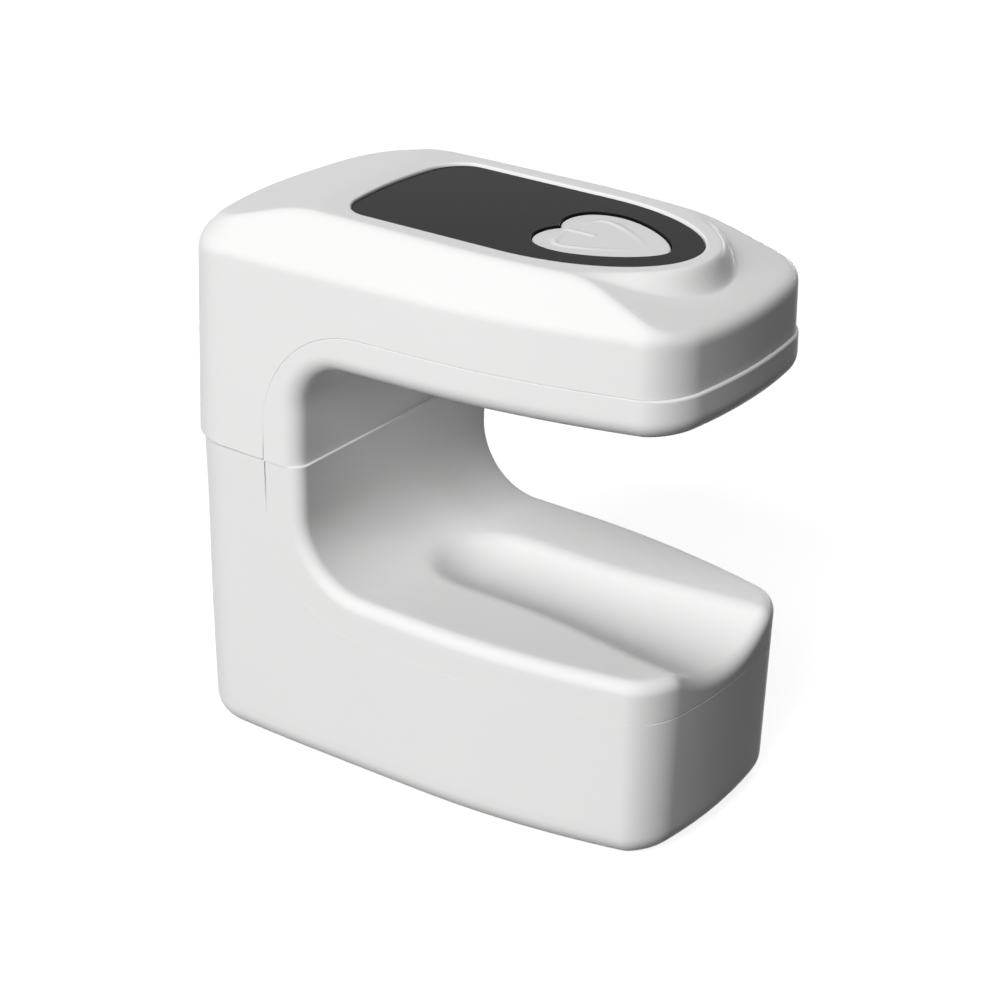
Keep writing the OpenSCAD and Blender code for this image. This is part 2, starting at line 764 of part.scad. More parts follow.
// Self-tapping screw: a flat head with a cross recess, seated at z and pointing up
module screw(x, y, z, r, len, hr, ht) {
    translate([x, y, z]) difference() {
        union() {
            cylinder(h = len - 2 * r, r = r);
            translate([0, 0, len - 2 * r]) cylinder(h = 2 * r, r1 = r, r2 = r * 0.3, $fn = 24);
            translate([0, 0, -ht]) cylinder(h = ht, r = hr);
        }
        for (a = [0, 90]) rotate(a)
            brick([hr * 1.2, hr * 0.28, ht * 0.6 + 1], [0, 0, -ht - 1]);
    }
}
module case_screws() {
    color("silver") for (s = [-1, 1]) {
        screw(rear_screw.x, s * rear_screw.y, rear_seat, screw_r, screw_len, head_r, head_t);
        screw(front_screw.x, s * front_screw.y, front_seat, screw_r, screw_len, head_r, head_t);
    }
}
module board_screws() {
    color("silver") for (p = board_screw_spots)
        screw(p.x, p.y, control_z, board_screw_r, board_screw_len, board_head_r, board_head_t);
}

module rubber_feet() {
    color("dimgray") for (p = [rear_screw, front_screw], s = [-1, 1])
        rod(p.x, s * p.y, 0, foot_t, foot_r);
}

upper_shell();
upper_liner();
lower_shell();
lower_liner();
display_window();
power_button();
control_board();
control_chip();
board_parts();
switch_body();
switch_plunger();
switch_dome();
display_module();
led_board();
led_beads();
lamp_lens();
battery_cell();
battery_pad();
battery_leads();
charge_board();
charge_parts();
usb_shell();
usb_tongue();
power_leads();
led_leads();
case_screws();
board_screws();
rubber_feet();
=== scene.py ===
import math
import bmesh
import bpy
import numpy as np
from mathutils import Matrix, Vector


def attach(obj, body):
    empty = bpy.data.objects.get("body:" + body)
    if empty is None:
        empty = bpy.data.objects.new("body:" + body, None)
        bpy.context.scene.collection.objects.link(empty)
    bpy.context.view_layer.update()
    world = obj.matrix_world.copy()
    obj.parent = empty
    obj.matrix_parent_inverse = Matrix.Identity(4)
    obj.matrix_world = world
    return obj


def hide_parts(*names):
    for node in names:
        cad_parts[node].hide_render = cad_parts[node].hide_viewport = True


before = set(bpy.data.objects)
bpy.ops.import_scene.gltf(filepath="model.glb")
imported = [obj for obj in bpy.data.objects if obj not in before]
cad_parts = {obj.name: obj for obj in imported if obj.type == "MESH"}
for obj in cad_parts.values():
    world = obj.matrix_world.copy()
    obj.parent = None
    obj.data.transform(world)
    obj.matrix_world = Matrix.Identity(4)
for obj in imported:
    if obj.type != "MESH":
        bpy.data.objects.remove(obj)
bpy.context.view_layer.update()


# White plastic
# Moulded gloss plastic of the case: a faint orange peel from the mould, and a polish
# that varies a little over the surface.

def new_material(name):
    """A material with an empty node tree but for the Principled shader and the output."""
    made = bpy.data.materials.new(name)
    made.use_nodes = True
    return made, made.node_tree, made.node_tree.nodes["Principled BSDF"]


def link(source, target):
    """Join two sockets of one node tree."""
    source.id_data.links.new(source, target)


def add_node(tree, kind, **values):
    """A shader node of the given kind, with input values by socket name, spaces as _."""
    node = tree.nodes.new("ShaderNode" + kind)
    for key, value in values.items():
        node.inputs[key.replace("_", " ")].default_value = value
    return node


def add_noise(tree, scale, detail, stretch=None):
    """Noise from 0 to 1 on Object coordinates, drawn out by stretch where it is given."""
    place = add_node(tree, "TexCoord").outputs["Object"]
    if stretch:
        drawn = add_node(tree, "Mapping", Scale=stretch)
        link(place, drawn.inputs["Vector"])
        place = drawn.outputs["Vector"]
    noise = add_node(tree, "TexNoise", Scale=scale, Detail=detail)
    link(place, noise.inputs["Vector"])
    return noise.outputs["Fac"]


def add_colour(tree, shader, share, colour, other):
    """A base colour that goes from one value to another near it by a share."""
    ramp = add_node(tree, "ValToRGB")
    ramp.color_ramp.elements[0].color = (*colour, 1)
    ramp.color_ramp.elements[1].color = (*other, 1)
    link(share, ramp.inputs["Fac"])
    link(ramp.outputs["Color"], shader.inputs["Base Color"])


def add_finish(tree, shader, bumps, depth, share, rough_low, rough_high):
    """Bumps depth micrometres high, and a roughness between two values by a share."""
    bump = add_node(tree, "Bump", Strength=1.0, Distance=depth * 0.000001)
    polish = add_node(tree, "MapRange", To_Min=rough_low, To_Max=rough_high)
    link(bumps, bump.inputs["Height"])
    link(share, polish.inputs["Value"])
    link(bump.outputs["Normal"], shader.inputs["Normal"])
    link(polish.outputs["Result"], shader.inputs["Roughness"])


def surface(name, colour, other, tint, grain, depth, rough_low, rough_high, **values):
    """A material whose colour wanders at the noise scale tint, with bumps depth micrometres
    high at the scale grain and a roughness that wanders twelve times as wide. Further
    values go to the shader's own inputs."""
    made, tree, shader = new_material(name)
    add_colour(tree, shader, add_noise(tree, tint, 2.0), colour, other)
    add_finish(tree, shader, add_noise(tree, grain, 3.0), depth, add_noise(tree, grain / 12, 2.0),
               rough_low, rough_high)
    for key, value in values.items():
        shader.inputs[key.replace("_", " ")].default_value = value
    return made


white = surface("white_plastic", (0.885, 0.885, 0.88), (0.905, 0.905, 0.9), 60, 2600, 1.2,
                0.3, 0.36, Specular_IOR_Level=0.025)


# Upper shell
# Upper half of the case, in white plastic 1.5 mm thick. It is screwed down on the lower
# half, clips over the upper liner along a seam, and carries the window in its raised rim.

MM = 0.001
TOP_Z = 60
RECESS_Z = 58.5
CEILING_Z = 57.6
EDGE_Z = 55.75
PART_Z = 34.0
WALL = 1.5
SIDE_BACK = -22.6
SIDE_FRONT = 25.3
SEAM_X = -16.8
UPPER_SEAM = (-4.8, 37.75, 12, 1, 0.022)


def join(*axes):
    """Points from their coordinates, each an array or one number."""
    return np.stack(np.broadcast_arrays(*axes), axis=-1)


def run_of(points):
    """Distance along a polyline at each of its points."""
    return np.concatenate([[0], np.cumsum(np.linalg.norm(np.diff(points, axis=0), axis=1))])


def length_of(points):
    """Length of a polyline."""
    return run_of(points)[-1]


def along(points, distance):
    """Places on a polyline at the given distances along it."""
    run = run_of(points)
    return np.stack([np.interp(distance, run, points[:, i]) for i in range(2)], axis=-1)


def paired(values, pairs):
    """Values carried over by straight lines between pairs of old and new ones."""
    return np.interp(values, *np.array(pairs, float).T)


def left_of(points):
    """Unit vectors square to a polyline, on its left: (-dy, dx) over their length."""
    step = np.gradient(points, axis=0)
    side = join(-step[:, 1], step[:, 0])
    return side / np.linalg.norm(side, axis=1, keepdims=True)


def inward(half):
    """Unit vectors into the shape that a half outline bounds, along x at its two ends."""
    side = -left_of(half)
    side[[0, -1]] = (1, 0), (-1, 0)
    return side


def unit_sides(places, line, sign):
    """Unit vectors square to a polyline at distances along it: on its left for sign 1,
    on its right for sign -1."""
    even = np.linspace(0, length_of(line), 8000)
    side = left_of(along(line, even)) * sign
    return np.stack([np.interp(places, even, side[:, i]) for i in range(2)], axis=-1)


def smooth(t):
    """Smooth step from 0 to 1: 3 t squared less 2 t cubed, with t held between 0 and 1."""
    t = np.clip(t, 0, 1)
    return t * t * (3 - 2 * t)


def soft_min(a, b, width):
    """The smaller of a and b, with their crossing rounded off over the given width."""
    return np.minimum(a, b) - np.maximum(width - np.abs(a - b), 0) ** 2 / (4 * width)


def bezier(a, b, c, d, count=60):
    """Cubic curve from a to d with handles b and c."""
    t = np.linspace(0, 1, count)[:, None]
    a, b, c, d = [np.array(v, float) for v in (a, b, c, d)]
    return a * (1 - t) ** 3 + 3 * b * t * (1 - t) ** 2 + 3 * c * t * t * (1 - t) + d * t ** 3


def corner(start, leave, end, arrive):
    """Rounded corner from start to end: a cubic curve whose handles lie 0.5523 of the
    way to the point where the tangents through its two ends meet."""
    start, leave, end, arrive = [np.array(v, float) for v in (start, leave, end, arrive)]
    gap = end - start
    k = (gap[0] * arrive[1] - gap[1] * arrive[0]) / (leave[0] * arrive[1] - leave[1] * arrive[0])
    meet = start + k * leave
    return bezier(start, start + 0.5523 * (meet - start), end + 0.5523 * (meet - end), end, 120)


def half_width(x):
    """Half width of the body at x: 17, less 0.00535 times the square of x beyond 1.6,
    less 0.0022 times the square of x behind -12."""
    return 17 - 0.00535 * np.maximum(0, x - 1.6) ** 2 - 0.0022 * np.maximum(0, -12 - x) ** 2


def width_slope(x):
    """Slope of half_width at x."""
    return -0.0107 * max(0, x - 1.6) + 0.0044 * max(0, -12 - x)


def plan_outline():
    """Half of the plan outline, from the middle of the back to the middle of the nose:
    a bowed back, x = -30 + 0.005 y^2, a bowed nose, x = 29.95 - 0.00875 y^2, the
    tapering side between them and two rounded corners."""
    back_y = np.linspace(0, 9.6, 200)
    side_x = np.linspace(SIDE_BACK, SIDE_FRONT, 900)
    nose_y = np.linspace(8.6, 0, 200)
    back = join(-30 + 0.005 * back_y ** 2, back_y)
    side = join(side_x, half_width(side_x))
    nose = join(29.95 - 0.00875 * nose_y ** 2, nose_y)
    first = corner(back[-1], (0.096, 1), side[0], (1, width_slope(SIDE_BACK)))
    last = corner(side[-1], (1, width_slope(SIDE_FRONT)), nose[0], (0.1505, -1))
    return np.concatenate([back, first[1:-1], side, last[1:-1], nose])


PLAN = plan_outline()
PLAN_Q = run_of(PLAN)
PLAN_IN = inward(PLAN)
PLAN_END = PLAN_Q[-1]


def outline_at(q):
    """Plan place and inward normal at distance q along the half outline."""
    return [np.interp(q, PLAN_Q, values) for values in (*PLAN.T, *PLAN_IN.T)]


def plan_at(q, inset):
    """Plan place at distance q along the half outline, moved in by inset."""
    x, y, nx, ny = outline_at(q)
    return join(x + inset * nx, y + inset * ny)


def q_at(x):
    """Distance along the outline at which it reaches x."""
    return np.interp(x, PLAN[:, 0], PLAN_Q)


def upper_inset(q, z):
    """Draft of the upper half, the same all round: 1.1 degrees inwards above the parting."""
    return (z - PART_Z) * math.tan(math.radians(1.1))


def wall_point(q, z, inset, proud=0.0):
    """Point at distance q along the outline and height z, moved in by inset along the
    inward normal, and forward by proud where x passes from 20 to 28."""
    x, y, nx, ny = outline_at(q)
    x = x + inset * nx
    x = x + proud * smooth((x - 20) / 8)
    return join(x, y + inset * ny, z)


def on_wall(places, inset, deep=0.0, proud=0.0):
    """Wall points at places (q, z) of a half with the given draft, deep into the wall."""
    q, z = places.T
    return wall_point(q, z, inset(q, z) + deep, proud)


def window_outline():
    """Half of the window's outline: a bowed back, x = -13.3 + 0.012 y^2, a corner, a
    straight side at y = 10, and a half oval nose 15.8 long from x = 7."""
    back_y = np.linspace(0, 6.2, 150)
    turn = np.linspace(math.pi / 2, 0, 500)
    back = join(-13.3 + 0.012 * back_y ** 2, back_y)
    first = corner(back[-1], (0.1488, 1), (-9.2, 10), (1, 0))
    side = join(np.linspace(-9.2, 7, 300), 10)
    nose = join(7 + 15.8 * np.cos(turn), 10 * np.sin(turn))
    return np.concatenate([back, first[1:-1], side, nose[1:]])


WINDOW = window_outline()
WINDOW_IN = inward(WINDOW)
WINDOW_END = length_of(WINDOW)


def gap_to(points, line):
    """Shortest distance from each plan point to a polyline's points."""
    flat = points.reshape(-1, 2)
    best = np.empty(len(flat))
    for i in range(0, len(flat), 2000):
        block = flat[i:i + 2000, None, :] - line[None, :, :]
        best[i:i + 2000] = np.sqrt((block ** 2).sum(axis=2).min(axis=1))
    return best.reshape(points.shape[:-1])


def ease(t):
    """0 below 0, then t^2 / 10 up to 5, then t - 2.5: a soft start to a slope."""
    return np.where(t < 0, 0, np.where(t < 5, t * t / 10, t - 2.5))


def edge_height(x, y):
    """Height at which the shoulder leaves the wall: EDGE_Z + 0.02 x, crowned at the back."""
    back = (0.9 * np.maximum(0, 1 - (y / 11) ** 2) ** 1.5 - 0.25) * smooth((-20 - x) / 8)
    return EDGE_Z + 0.02 * x + back


def top_height(points):
    """Height of the lamp's top: the lesser of a shoulder that climbs at 45 degrees from
    the wall, and a plateau, with the crease between them rounded. The plateau is a
    crowned deck that falls away to the nose and the back, and a rim at TOP_Z round the
    window that sinks into it by half a cosine wave between 1.4 and 3.1 mm from it."""
    x, y = points[..., 0], points[..., 1]
    edge = gap_to(points, PLAN[::2]) - upper_inset(0, EDGE_Z)
    deck = 59.5 - 0.27 * ease(-13.5 - x) - 0.34 * ease(x - 15) + 0.6 * (1 - (y / 17) ** 4)
    reach = np.clip((gap_to(points, WINDOW[::2]) - 1.4) / 1.7, 0, 1)
    plateau = deck + (TOP_Z - deck) * (1 + np.cos(math.pi * reach)) / 2
    return np.minimum(TOP_Z, soft_min(edge_height(x, y) + edge, plateau, 0.5))


def seam_line(points_before, arc_x, arc_z, radius, sweep, slope):
    """Seam in the wall's own plane, as distance along the outline against height: the
    points given, an arc that turns from upright to level, then a line to the nose."""
    turn = np.linspace(0, math.pi / 2, 160)
    x = arc_x - radius * np.cos(turn)
    arc = join(q_at(x), arc_z + sweep * radius * np.sin(turn))
    far = np.linspace(q_at(arc_x), PLAN_END, 900)[1:]
    z = arc_z + sweep * radius + slope * (outline_at(far)[0] - arc_x)
    return np.concatenate([points_before, arc[1:], join(far, z)])


def spaced(length, gap):
    """Stations along a length, gap(s) apart at the place s: the running sum of 1 / gap
    cut into equal steps."""
    s = np.linspace(0, length, 6000)
    rate = 1 / gap(s)
    total = np.concatenate([[0], np.cumsum((rate[1:] + rate[:-1]) / 2 * s[1])])
    return np.interp(np.linspace(0, total[-1], int(total[-1]) + 2), total, s)


def round_off(radius, count):
    """Pairs of shares (back, in) of a rounded edge, from the mating face to the skin."""
    turn = np.linspace(0, math.pi / 2, count)
    return [(radius * (1 - math.cos(t)), radius * (1 - math.sin(t))) for t in turn]


def grid_faces(rows, columns, first):
    """Quads of a grid of rows by columns whose points start at index first."""
    a = first + np.arange(rows * columns).reshape(rows, columns)
    return np.stack([a[:-1, :-1], a[:-1, 1:], a[1:, 1:], a[1:, :-1]], axis=-1).reshape(-1, 4)


def weld(mesh):
    """Weld a mesh's seams and turn its faces outwards."""
    made = bmesh.new()
    made.from_mesh(mesh)
    bmesh.ops.remove_doubles(made, verts=made.verts, dist=0.0000005)
    bmesh.ops.dissolve_degenerate(made, edges=made.edges, dist=0.0000002)
    bmesh.ops.recalc_face_normals(made, faces=made.faces)
    made.to_mesh(mesh)
    made.free()


def shade(mesh, sharp):
    """Smooth shading, but for edges sharper than the given angle and for level faces,
    which are flat."""
    mesh.shade_smooth()
    mesh.set_sharp_from_angle(angle=math.radians(sharp))
    normals = np.empty(len(mesh.polygons) * 3)
    mesh.polygons.foreach_get("normal", normals)
    mesh.polygons.foreach_set("use_smooth", np.abs(normals[2::3]) < 0.99999)


def finish_piece(mesh, name, replaced, material=white, slot="white_plastic", body="case", sharp=34):
    """One object from a mesh: welded and shaded, on its body and in place of the CAD
    node that it stands for. It is of the case and its plastic unless told otherwise."""
    weld(mesh)
    shade(mesh, sharp)
    mesh.materials.clear()
    mesh.materials.append(material)
    piece = bpy.data.objects.new(name, mesh)
    bpy.context.scene.collection.objects.link(piece)
    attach(piece, body)
    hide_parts(replaced)
    return piece


def grid_mesh(name, grids):
    """Mesh of grids of points in millimetres, which are half of the piece, and of their
    mirror images across y = 0."""
    points, faces, count = [], [], 0
    for grid in grids:
        for side in (1, -1):
            points.append(grid.reshape(-1, 3) * (1, side, 1))
            faces.append(grid_faces(grid.shape[0], grid.shape[1], count))
            count += grid.shape[0] * grid.shape[1]
    mesh = bpy.data.meshes.new(name)
    mesh.from_pydata((np.concatenate(points) * MM).tolist(), [], np.concatenate(faces).tolist())
    return mesh


def new_piece(name, grids, replaced, *rest, **more):
    """One object from the grids of half of it, finished as finish_piece says."""
    return finish_piece(grid_mesh(name, grids), name, replaced, *rest, **more)


def fine_at(places, wide, gap=0.3, close=0.14):
    """Spacing rule for spaced(): gap apart, and close within wide of the given places."""
    def rule(s):
        near = np.min([np.abs(s - place) for place in places], axis=0)
        return gap - (gap - close) * (1 - smooth((near - wide) / wide))
    return rule


def mitred(into, places, bend, diagonal):
    """Unit vectors that lean to the diagonal near the place of a bend: within 6 mm before
    it, and within 3 mm after it."""
    far = smooth(np.abs(places - bend) / np.where(places < bend, 6, 3))[:, None]
    lean = into * far + np.array(diagonal) * math.sqrt(0.5) * (1 - far)
    return lean / np.linalg.norm(lean, axis=1, keepdims=True)


def wall_rows(line, into, lean, hold, gap, radius, inset, target, count, proud=0.0):
    """Rows of wall points from the mating face at a seam to a target line: first the edge,
    rounded by radius, square to the seam and gap away from it; then 0.4 mm along lean;
    then rows to the target on quadratic curves that leave along lean by hold, or straight
    where hold is 0. into and lean are each station's unit vectors into the piece."""
    rows = []
    for back, deep in round_off(1, 5):
        rows.append(on_wall(line + into * (gap + radius * back)[:, None], inset, radius * deep, proud))
    for share in (0.12, 0.5, 1):
        place = line + into * (gap + radius)[:, None] + lean * 0.4 * share
        rows.append(on_wall(place, inset, 0, proud))
    handle = place + lean * hold if hold else (place + target) / 2
    for t in np.linspace(0, 1, count)[1:]:
        now = place * (1 - t) ** 2 + 2 * handle * t * (1 - t) + target * t * t
        rows.append(on_wall(now, inset, 0, proud))
    return rows


def flat_row(plan, z):
    """Row of points over the plan points given, at height z."""
    height = np.broadcast_to(np.asarray(z, float).reshape(-1, 1), (len(plan), 1))
    return np.concatenate([plan, height], axis=1)


def shell_edge(seam, up):
    """Stations along a shell's whole mating edge: the parting line, a bend of radius BEND,
    up for 1 or down for -1, and the seam. Gives their distances past the parting line,
    their places (q, z), and the unit vectors into and lean of wall_rows."""
    turn = np.linspace(0, math.pi / 2, 12)
    bend = join(SEAM_Q - BEND + BEND * np.sin(turn), PART_Z + up * (BEND - BEND * np.cos(turn)))
    line = seam_line(np.concatenate([parting, bend[1:]]), *seam)
    before = length_of(parting)
    stations = spaced(length_of(line), fine_at([before], 0.4, 0.3, 0.06))
    into = unit_sides(stations, line, up)
    lean = mitred(into, stations, before + 0.2, (-1, up))
    return stations - before, along(line, stations), into, lean


BEND = 0.25
SEAM_Q = float(q_at(SEAM_X))
parting = join(np.linspace(0, SEAM_Q - BEND, 300), PART_Z)
past, edge, into, lean = shell_edge(UPPER_SEAM, 1)

# Where the wall meets the top: the edge is rounded from a height below the corner point
# to a place bite in from it, and a quadratic curve joins the two.
reach = paired(past, [(past[0], 0), (0, 13.8), (4, 16.8), (past[-1], PLAN_END)])
x = outline_at(reach)[0]
bite = 0.5 + 0.65 * smooth((x - 23) / 6) + 0.4 * smooth((-22 - x) / 6)
inner = upper_inset(0, EDGE_Z) + bite
top_in = plan_at(reach, inner)
crown = top_height(top_in)
tilt = (top_height(plan_at(reach, inner + 0.04)) - crown) / 0.04
corner_z = crown - tilt * bite
drop = bite * np.sqrt(1 + tilt ** 2)
target = join(reach, corner_z - drop)
radius = np.full(len(past), 0.11)
gap = 0.05 * smooth((past + 0.3) / 0.4) * (1 - smooth((past - 1.2) / 3))
rows = wall_rows(edge, into, lean, 2.2, gap, radius, upper_inset, target, 24)
a = on_wall(target, upper_inset)
b = on_wall(join(reach, corner_z), upper_inset)
c = flat_row(top_in, crown)
for t in np.linspace(0, 1, 9)[1:]:
    rows.append(a * (1 - t) ** 2 + 2 * b * t * (1 - t) + c * t * t)

# Across the top to the rim, over the rim's rounded inner edge and down the recess.
share = paired(reach, [(0, 0), (9.6, 6.2), (q_at(SIDE_BACK), 13), (q_at(16), WINDOW_END - 19),
                       (q_at(SIDE_FRONT), WINDOW_END - 9), (PLAN_END, WINDOW_END)])
rim = along(WINDOW, share)
rim_in = unit_sides(share, WINDOW, -1)
rim_in[[0, -1]] = (1, 0), (-1, 0)
lip = 0.22
for t in np.linspace(0, 1, 56)[1:]:
    place = top_in * (1 - t) + (rim - lip * rim_in) * t
    rows.append(flat_row(place, top_height(place)))
for back, deep in reversed(round_off(lip, 6)[:-1]):
    rows.append(flat_row(rim - back * rim_in, TOP_Z - deep))
ledge = rim + 1.5 * rim_in
rows += [flat_row(rim, RECESS_Z), flat_row(ledge, RECESS_Z), flat_row(ledge, CEILING_Z)]

# Back along the inner skin to the mating face.
wall_in = plan_at(reach, upper_inset(0, EDGE_Z) + WALL)
for t in np.linspace(0, 1, 9):
    place = rim * (1 - t) + wall_in * t
    rows.append(flat_row(place, np.minimum(CEILING_Z, top_height(place) - 1.9)))
low = join(reach, rows[-1][:, 2])
rows += [on_wall(low * (1 - t) + edge * t, upper_inset, WALL) for t in np.linspace(0, 1, 7)[1:]]
rows.append(rows[0])
new_piece("case_top", [np.stack(rows)], "upper_shell")


def lathe(profile, x, y, count=48):
    """Grid of a profile of (radius, z) turned about the upright line at x, y: half a turn
    where y is 0, as mirroring makes the other half, and a whole turn elsewhere."""
    share = 1 if y else 0.5
    turn = np.linspace(0, 2 * math.pi * share, int(count * share) + 1)
    r, z = np.array(profile, float).T[:, :, None]
    return join(x + r * np.cos(turn), y + r * np.sin(turn), z)


def whole(half):
    """Closed outline from its half with y of 0 or more."""
    return np.concatenate([half, half[-2:0:-1] * (1, -1)])


def half_heart(grow):
    """Half outline of the heart key, made bigger all round by grow: one curve from the
    notch at its back over the lobe, and one on to its tip."""
    x, w = 6.6 - grow, 6.15 + grow
    lobe, tip = (x + 4.1, w), 19.7 + 1.1 * grow
    first = bezier((x + 0.85, 0), (x - 0.9, 1.9), (x - 0.5, w), lobe)
    last = bezier(lobe, (x + 7.6, w), (tip - 0.1, 2.6), (tip, 0))
    return np.concatenate([first, last[1:]])


def plate(name, outlines, low, high, bevel):
    """Mesh of a flat plate between two heights: the first outline less the others, with
    edges rounded off to the bevel."""
    curve = bpy.data.curves.new(name, "CURVE")
    curve.dimensions = "2D"
    curve.fill_mode = "BOTH"
    for outline in outlines:
        spline = curve.splines.new("POLY")
        spline.points.add(len(outline) - 1)
        flat = np.concatenate([outline * MM, np.tile((0, 1), (len(outline), 1))], axis=1)
        spline.points.foreach_set("co", flat.ravel())
        spline.use_cyclic_u = True
    curve.extrude = ((high - low) / 2 - bevel) * MM
    curve.bevel_depth = bevel * MM
    curve.offset = -bevel * MM
    curve.bevel_resolution = 2
    cast = bpy.data.objects.new(name, curve)
    bpy.context.scene.collection.objects.link(cast)
    graph = bpy.context.evaluated_depsgraph_get()
    mesh = bpy.data.meshes.new_from_object(cast.evaluated_get(graph))
    bpy.data.objects.remove(cast)
    mesh.transform(Matrix.Translation((0, 0, (low + high) / 2 * MM)))
    return mesh


# The plate under the window, with openings for the display and the key, and five bosses.
window_seat = whole(WINDOW + 1.4 * WINDOW_IN)[::4]
view_hole = np.array([[-8.5, -5.5], [3.5, -5.5], [3.5, 5.5], [-8.5, 5.5]])
tray = plate("tray", [window_seat, whole(half_heart(0.15))[::2], view_hole], CEILING_Z, RECESS_Z, 0.05)
finish_piece(tray, "case_top_tray", "upper_shell")
CASE_BOSS = [(0, 39.5), (0.9, 39.5), (0.9, PART_Z + 0.15), (1.05, PART_Z), (2.55, PART_Z),
             (2.7, PART_Z + 0.15), (2.7, 56.2), (0, 56.2)]
BOARD_BOSS = [(0, 56.9), (0.65, 56.9), (0.65, 53.6), (0.75, 53.5), (1.7, 53.5), (1.8, 53.6),
              (1.8, 57.4), (0, 57.4)]
REAR_SCREW = (-22.5, 9.5)
FRONT_SCREW = (22.8, 6.2)
new_piece("case_top_bosses", [lathe(CASE_BOSS, *REAR_SCREW), lathe(BOARD_BOSS, -12.2, 7.5),
                              lathe(BOARD_BOSS, 23.8, 0)], "upper_shell")


# Upper liner
# White plastic liner of the upper arm: the throat wall, its arc and the roof over the
# finger in one piece, with a rounded opening for the lens. Its band shows along the side.

ROOF_X, ROOF_Z, ROOF_R, ROOF_SLOPE = -7.15, 40, 5.5, 0.022
RISE = ROOF_Z - PART_Z
ROOF_TAU = RISE + ROOF_R * math.pi / 2
PROUD = 0.3
ROUND_ROWS = 10


def roof_at(tau, y, lift):
    """Side-view place x, z at distance tau along the roof line from the parting, moved
    lift into the plastic: up the throat wall, a quarter turn of radius ROOF_R about
    (ROOF_X, ROOF_Z), then forward with a slight rise. It is the same at every width y."""
    turn = np.clip((tau - RISE) / ROOF_R, 0, math.pi / 2)
    ahead = np.maximum(tau - ROOF_TAU, 0)
    x = ROOF_X - (ROOF_R + lift) * np.cos(turn) + ahead
    return x, ROOF_Z + (ROOF_R + lift) * np.sin(turn) + np.minimum(tau - RISE, 0) + ROOF_SLOPE * ahead


def skin_point(at, tau, y, lift):
    """Points over a side-view line: at(tau, y, lift) gives x and z, and y is the width."""
    x, z = at(tau, y, lift)
    return join(x, y, z)


def fold_of(at, bend, bend_x, inset, proud):
    """Edge of a side-view line on the outer wall, dense: tau, and places (q, z). Beyond
    the bend, tau goes on by the wall's own x, and the height settles in six rounds."""
    tau = np.linspace(0, bend, 300)
    x, z = at(tau, np.full(300, 17.0), 0)
    q = q_at(x)
    far = np.linspace(q[-1], PLAN_END, 1200)[1:]
    height = np.full(len(far), z[-1])
    for _ in range(6):
        place = wall_point(far, height, inset(far, height), proud)
        far_tau = bend + place[:, 0] - bend_x
        height = at(far_tau, place[:, 1], 0)[1]
    line = join(np.concatenate([q, far]), np.concatenate([z, height]))
    return np.concatenate([tau, far_tau]), line


def liner_edges(tau, line, seam, stops, spread, side):
    """Stations along a liner's fold, and the places on its seam that pair with them by the
    stops given. side is 1 where the liner lies on the fold's left, -1 on its right."""
    run = run_of(line)
    stations = spaced(run[-1], fine_at([10, run[-1] - 14], 3.0, spread, 0.24))
    at_seam = paired(stations, [(0, 0), *stops, (run[-1], length_of(seam))])
    return (stations, np.interp(stations, run, tau), along(line, stations),
            unit_sides(stations, line, side), at_seam, along(seam, at_seam),
            unit_sides(at_seam, seam, -side))


def liner_skins(rows, at, bend, bend_x, inset, proud, soft, edges, middle, middle_in, shares):
    """Outer and inner skin of a liner. The outer goes on from the wall's rows round an
    edge of radius soft, and over the side-view line to the middle's tau and y by the
    shares. The inner follows it, WALL deeper."""
    tau, fold, fold_in, seam_at = edges

    def tau_over(places):
        """tau of wall points: their station's before the bend, and by their x after it."""
        return np.where(tau < bend, tau, bend + places[:, 0] - bend_x)

    flat = on_wall(fold, inset, soft, proud)
    flat_tau = tau_over(flat)
    ends = skin_point(at, flat_tau, flat[:, 1], 0)
    deep = on_wall(fold, inset, WALL, proud)
    deep_tau = tau_over(deep)
    deep = skin_point(at, deep_tau, deep[:, 1], WALL)
    start = on_wall(seam_at, inset, WALL, proud)
    inner = [start * (1 - t) + deep * t for t in np.linspace(0, 1, len(rows))] + [deep] * ROUND_ROWS
    for t in np.linspace(0, math.pi / 2, ROUND_ROWS + 1)[1:]:
        place = fold + fold_in * soft * (1 - math.sin(t))
        place = on_wall(place, inset, soft * (1 - math.cos(t)), proud)
        rows.append(place + (1 - math.cos(t)) * (ends - flat))
    for t in shares:
        rows.append(skin_point(at, flat_tau * (1 - t) + middle[:, 0] * t,
                               ends[:, 1] * (1 - t) + middle[:, 1] * t, 0))
        inner.append(skin_point(at, deep_tau * (1 - t) + middle_in[:, 0] * t,
                                deep[:, 1] * (1 - t) + middle_in[:, 1] * t, WALL))
    return np.stack(rows), np.stack(inner)


def rounded_box(x0, x1, hw, r, grow):
    """Half outline of a box with rounded corners, from (x0, 0) round to (x1, 0), made
    bigger all round by grow."""
    turn = np.linspace(0, math.pi / 2, 40)
    r, x0, x1, hw = r + grow, x0 - grow, x1 + grow, hw + grow
    first = join(x0 + r - r * np.cos(turn), hw - r + r * np.sin(turn))
    last = join(x1 - r + r * np.sin(turn), hw - r + r * np.cos(turn))
    return np.concatenate([[[x0, 0]], first, last, [[x1, 0]]])


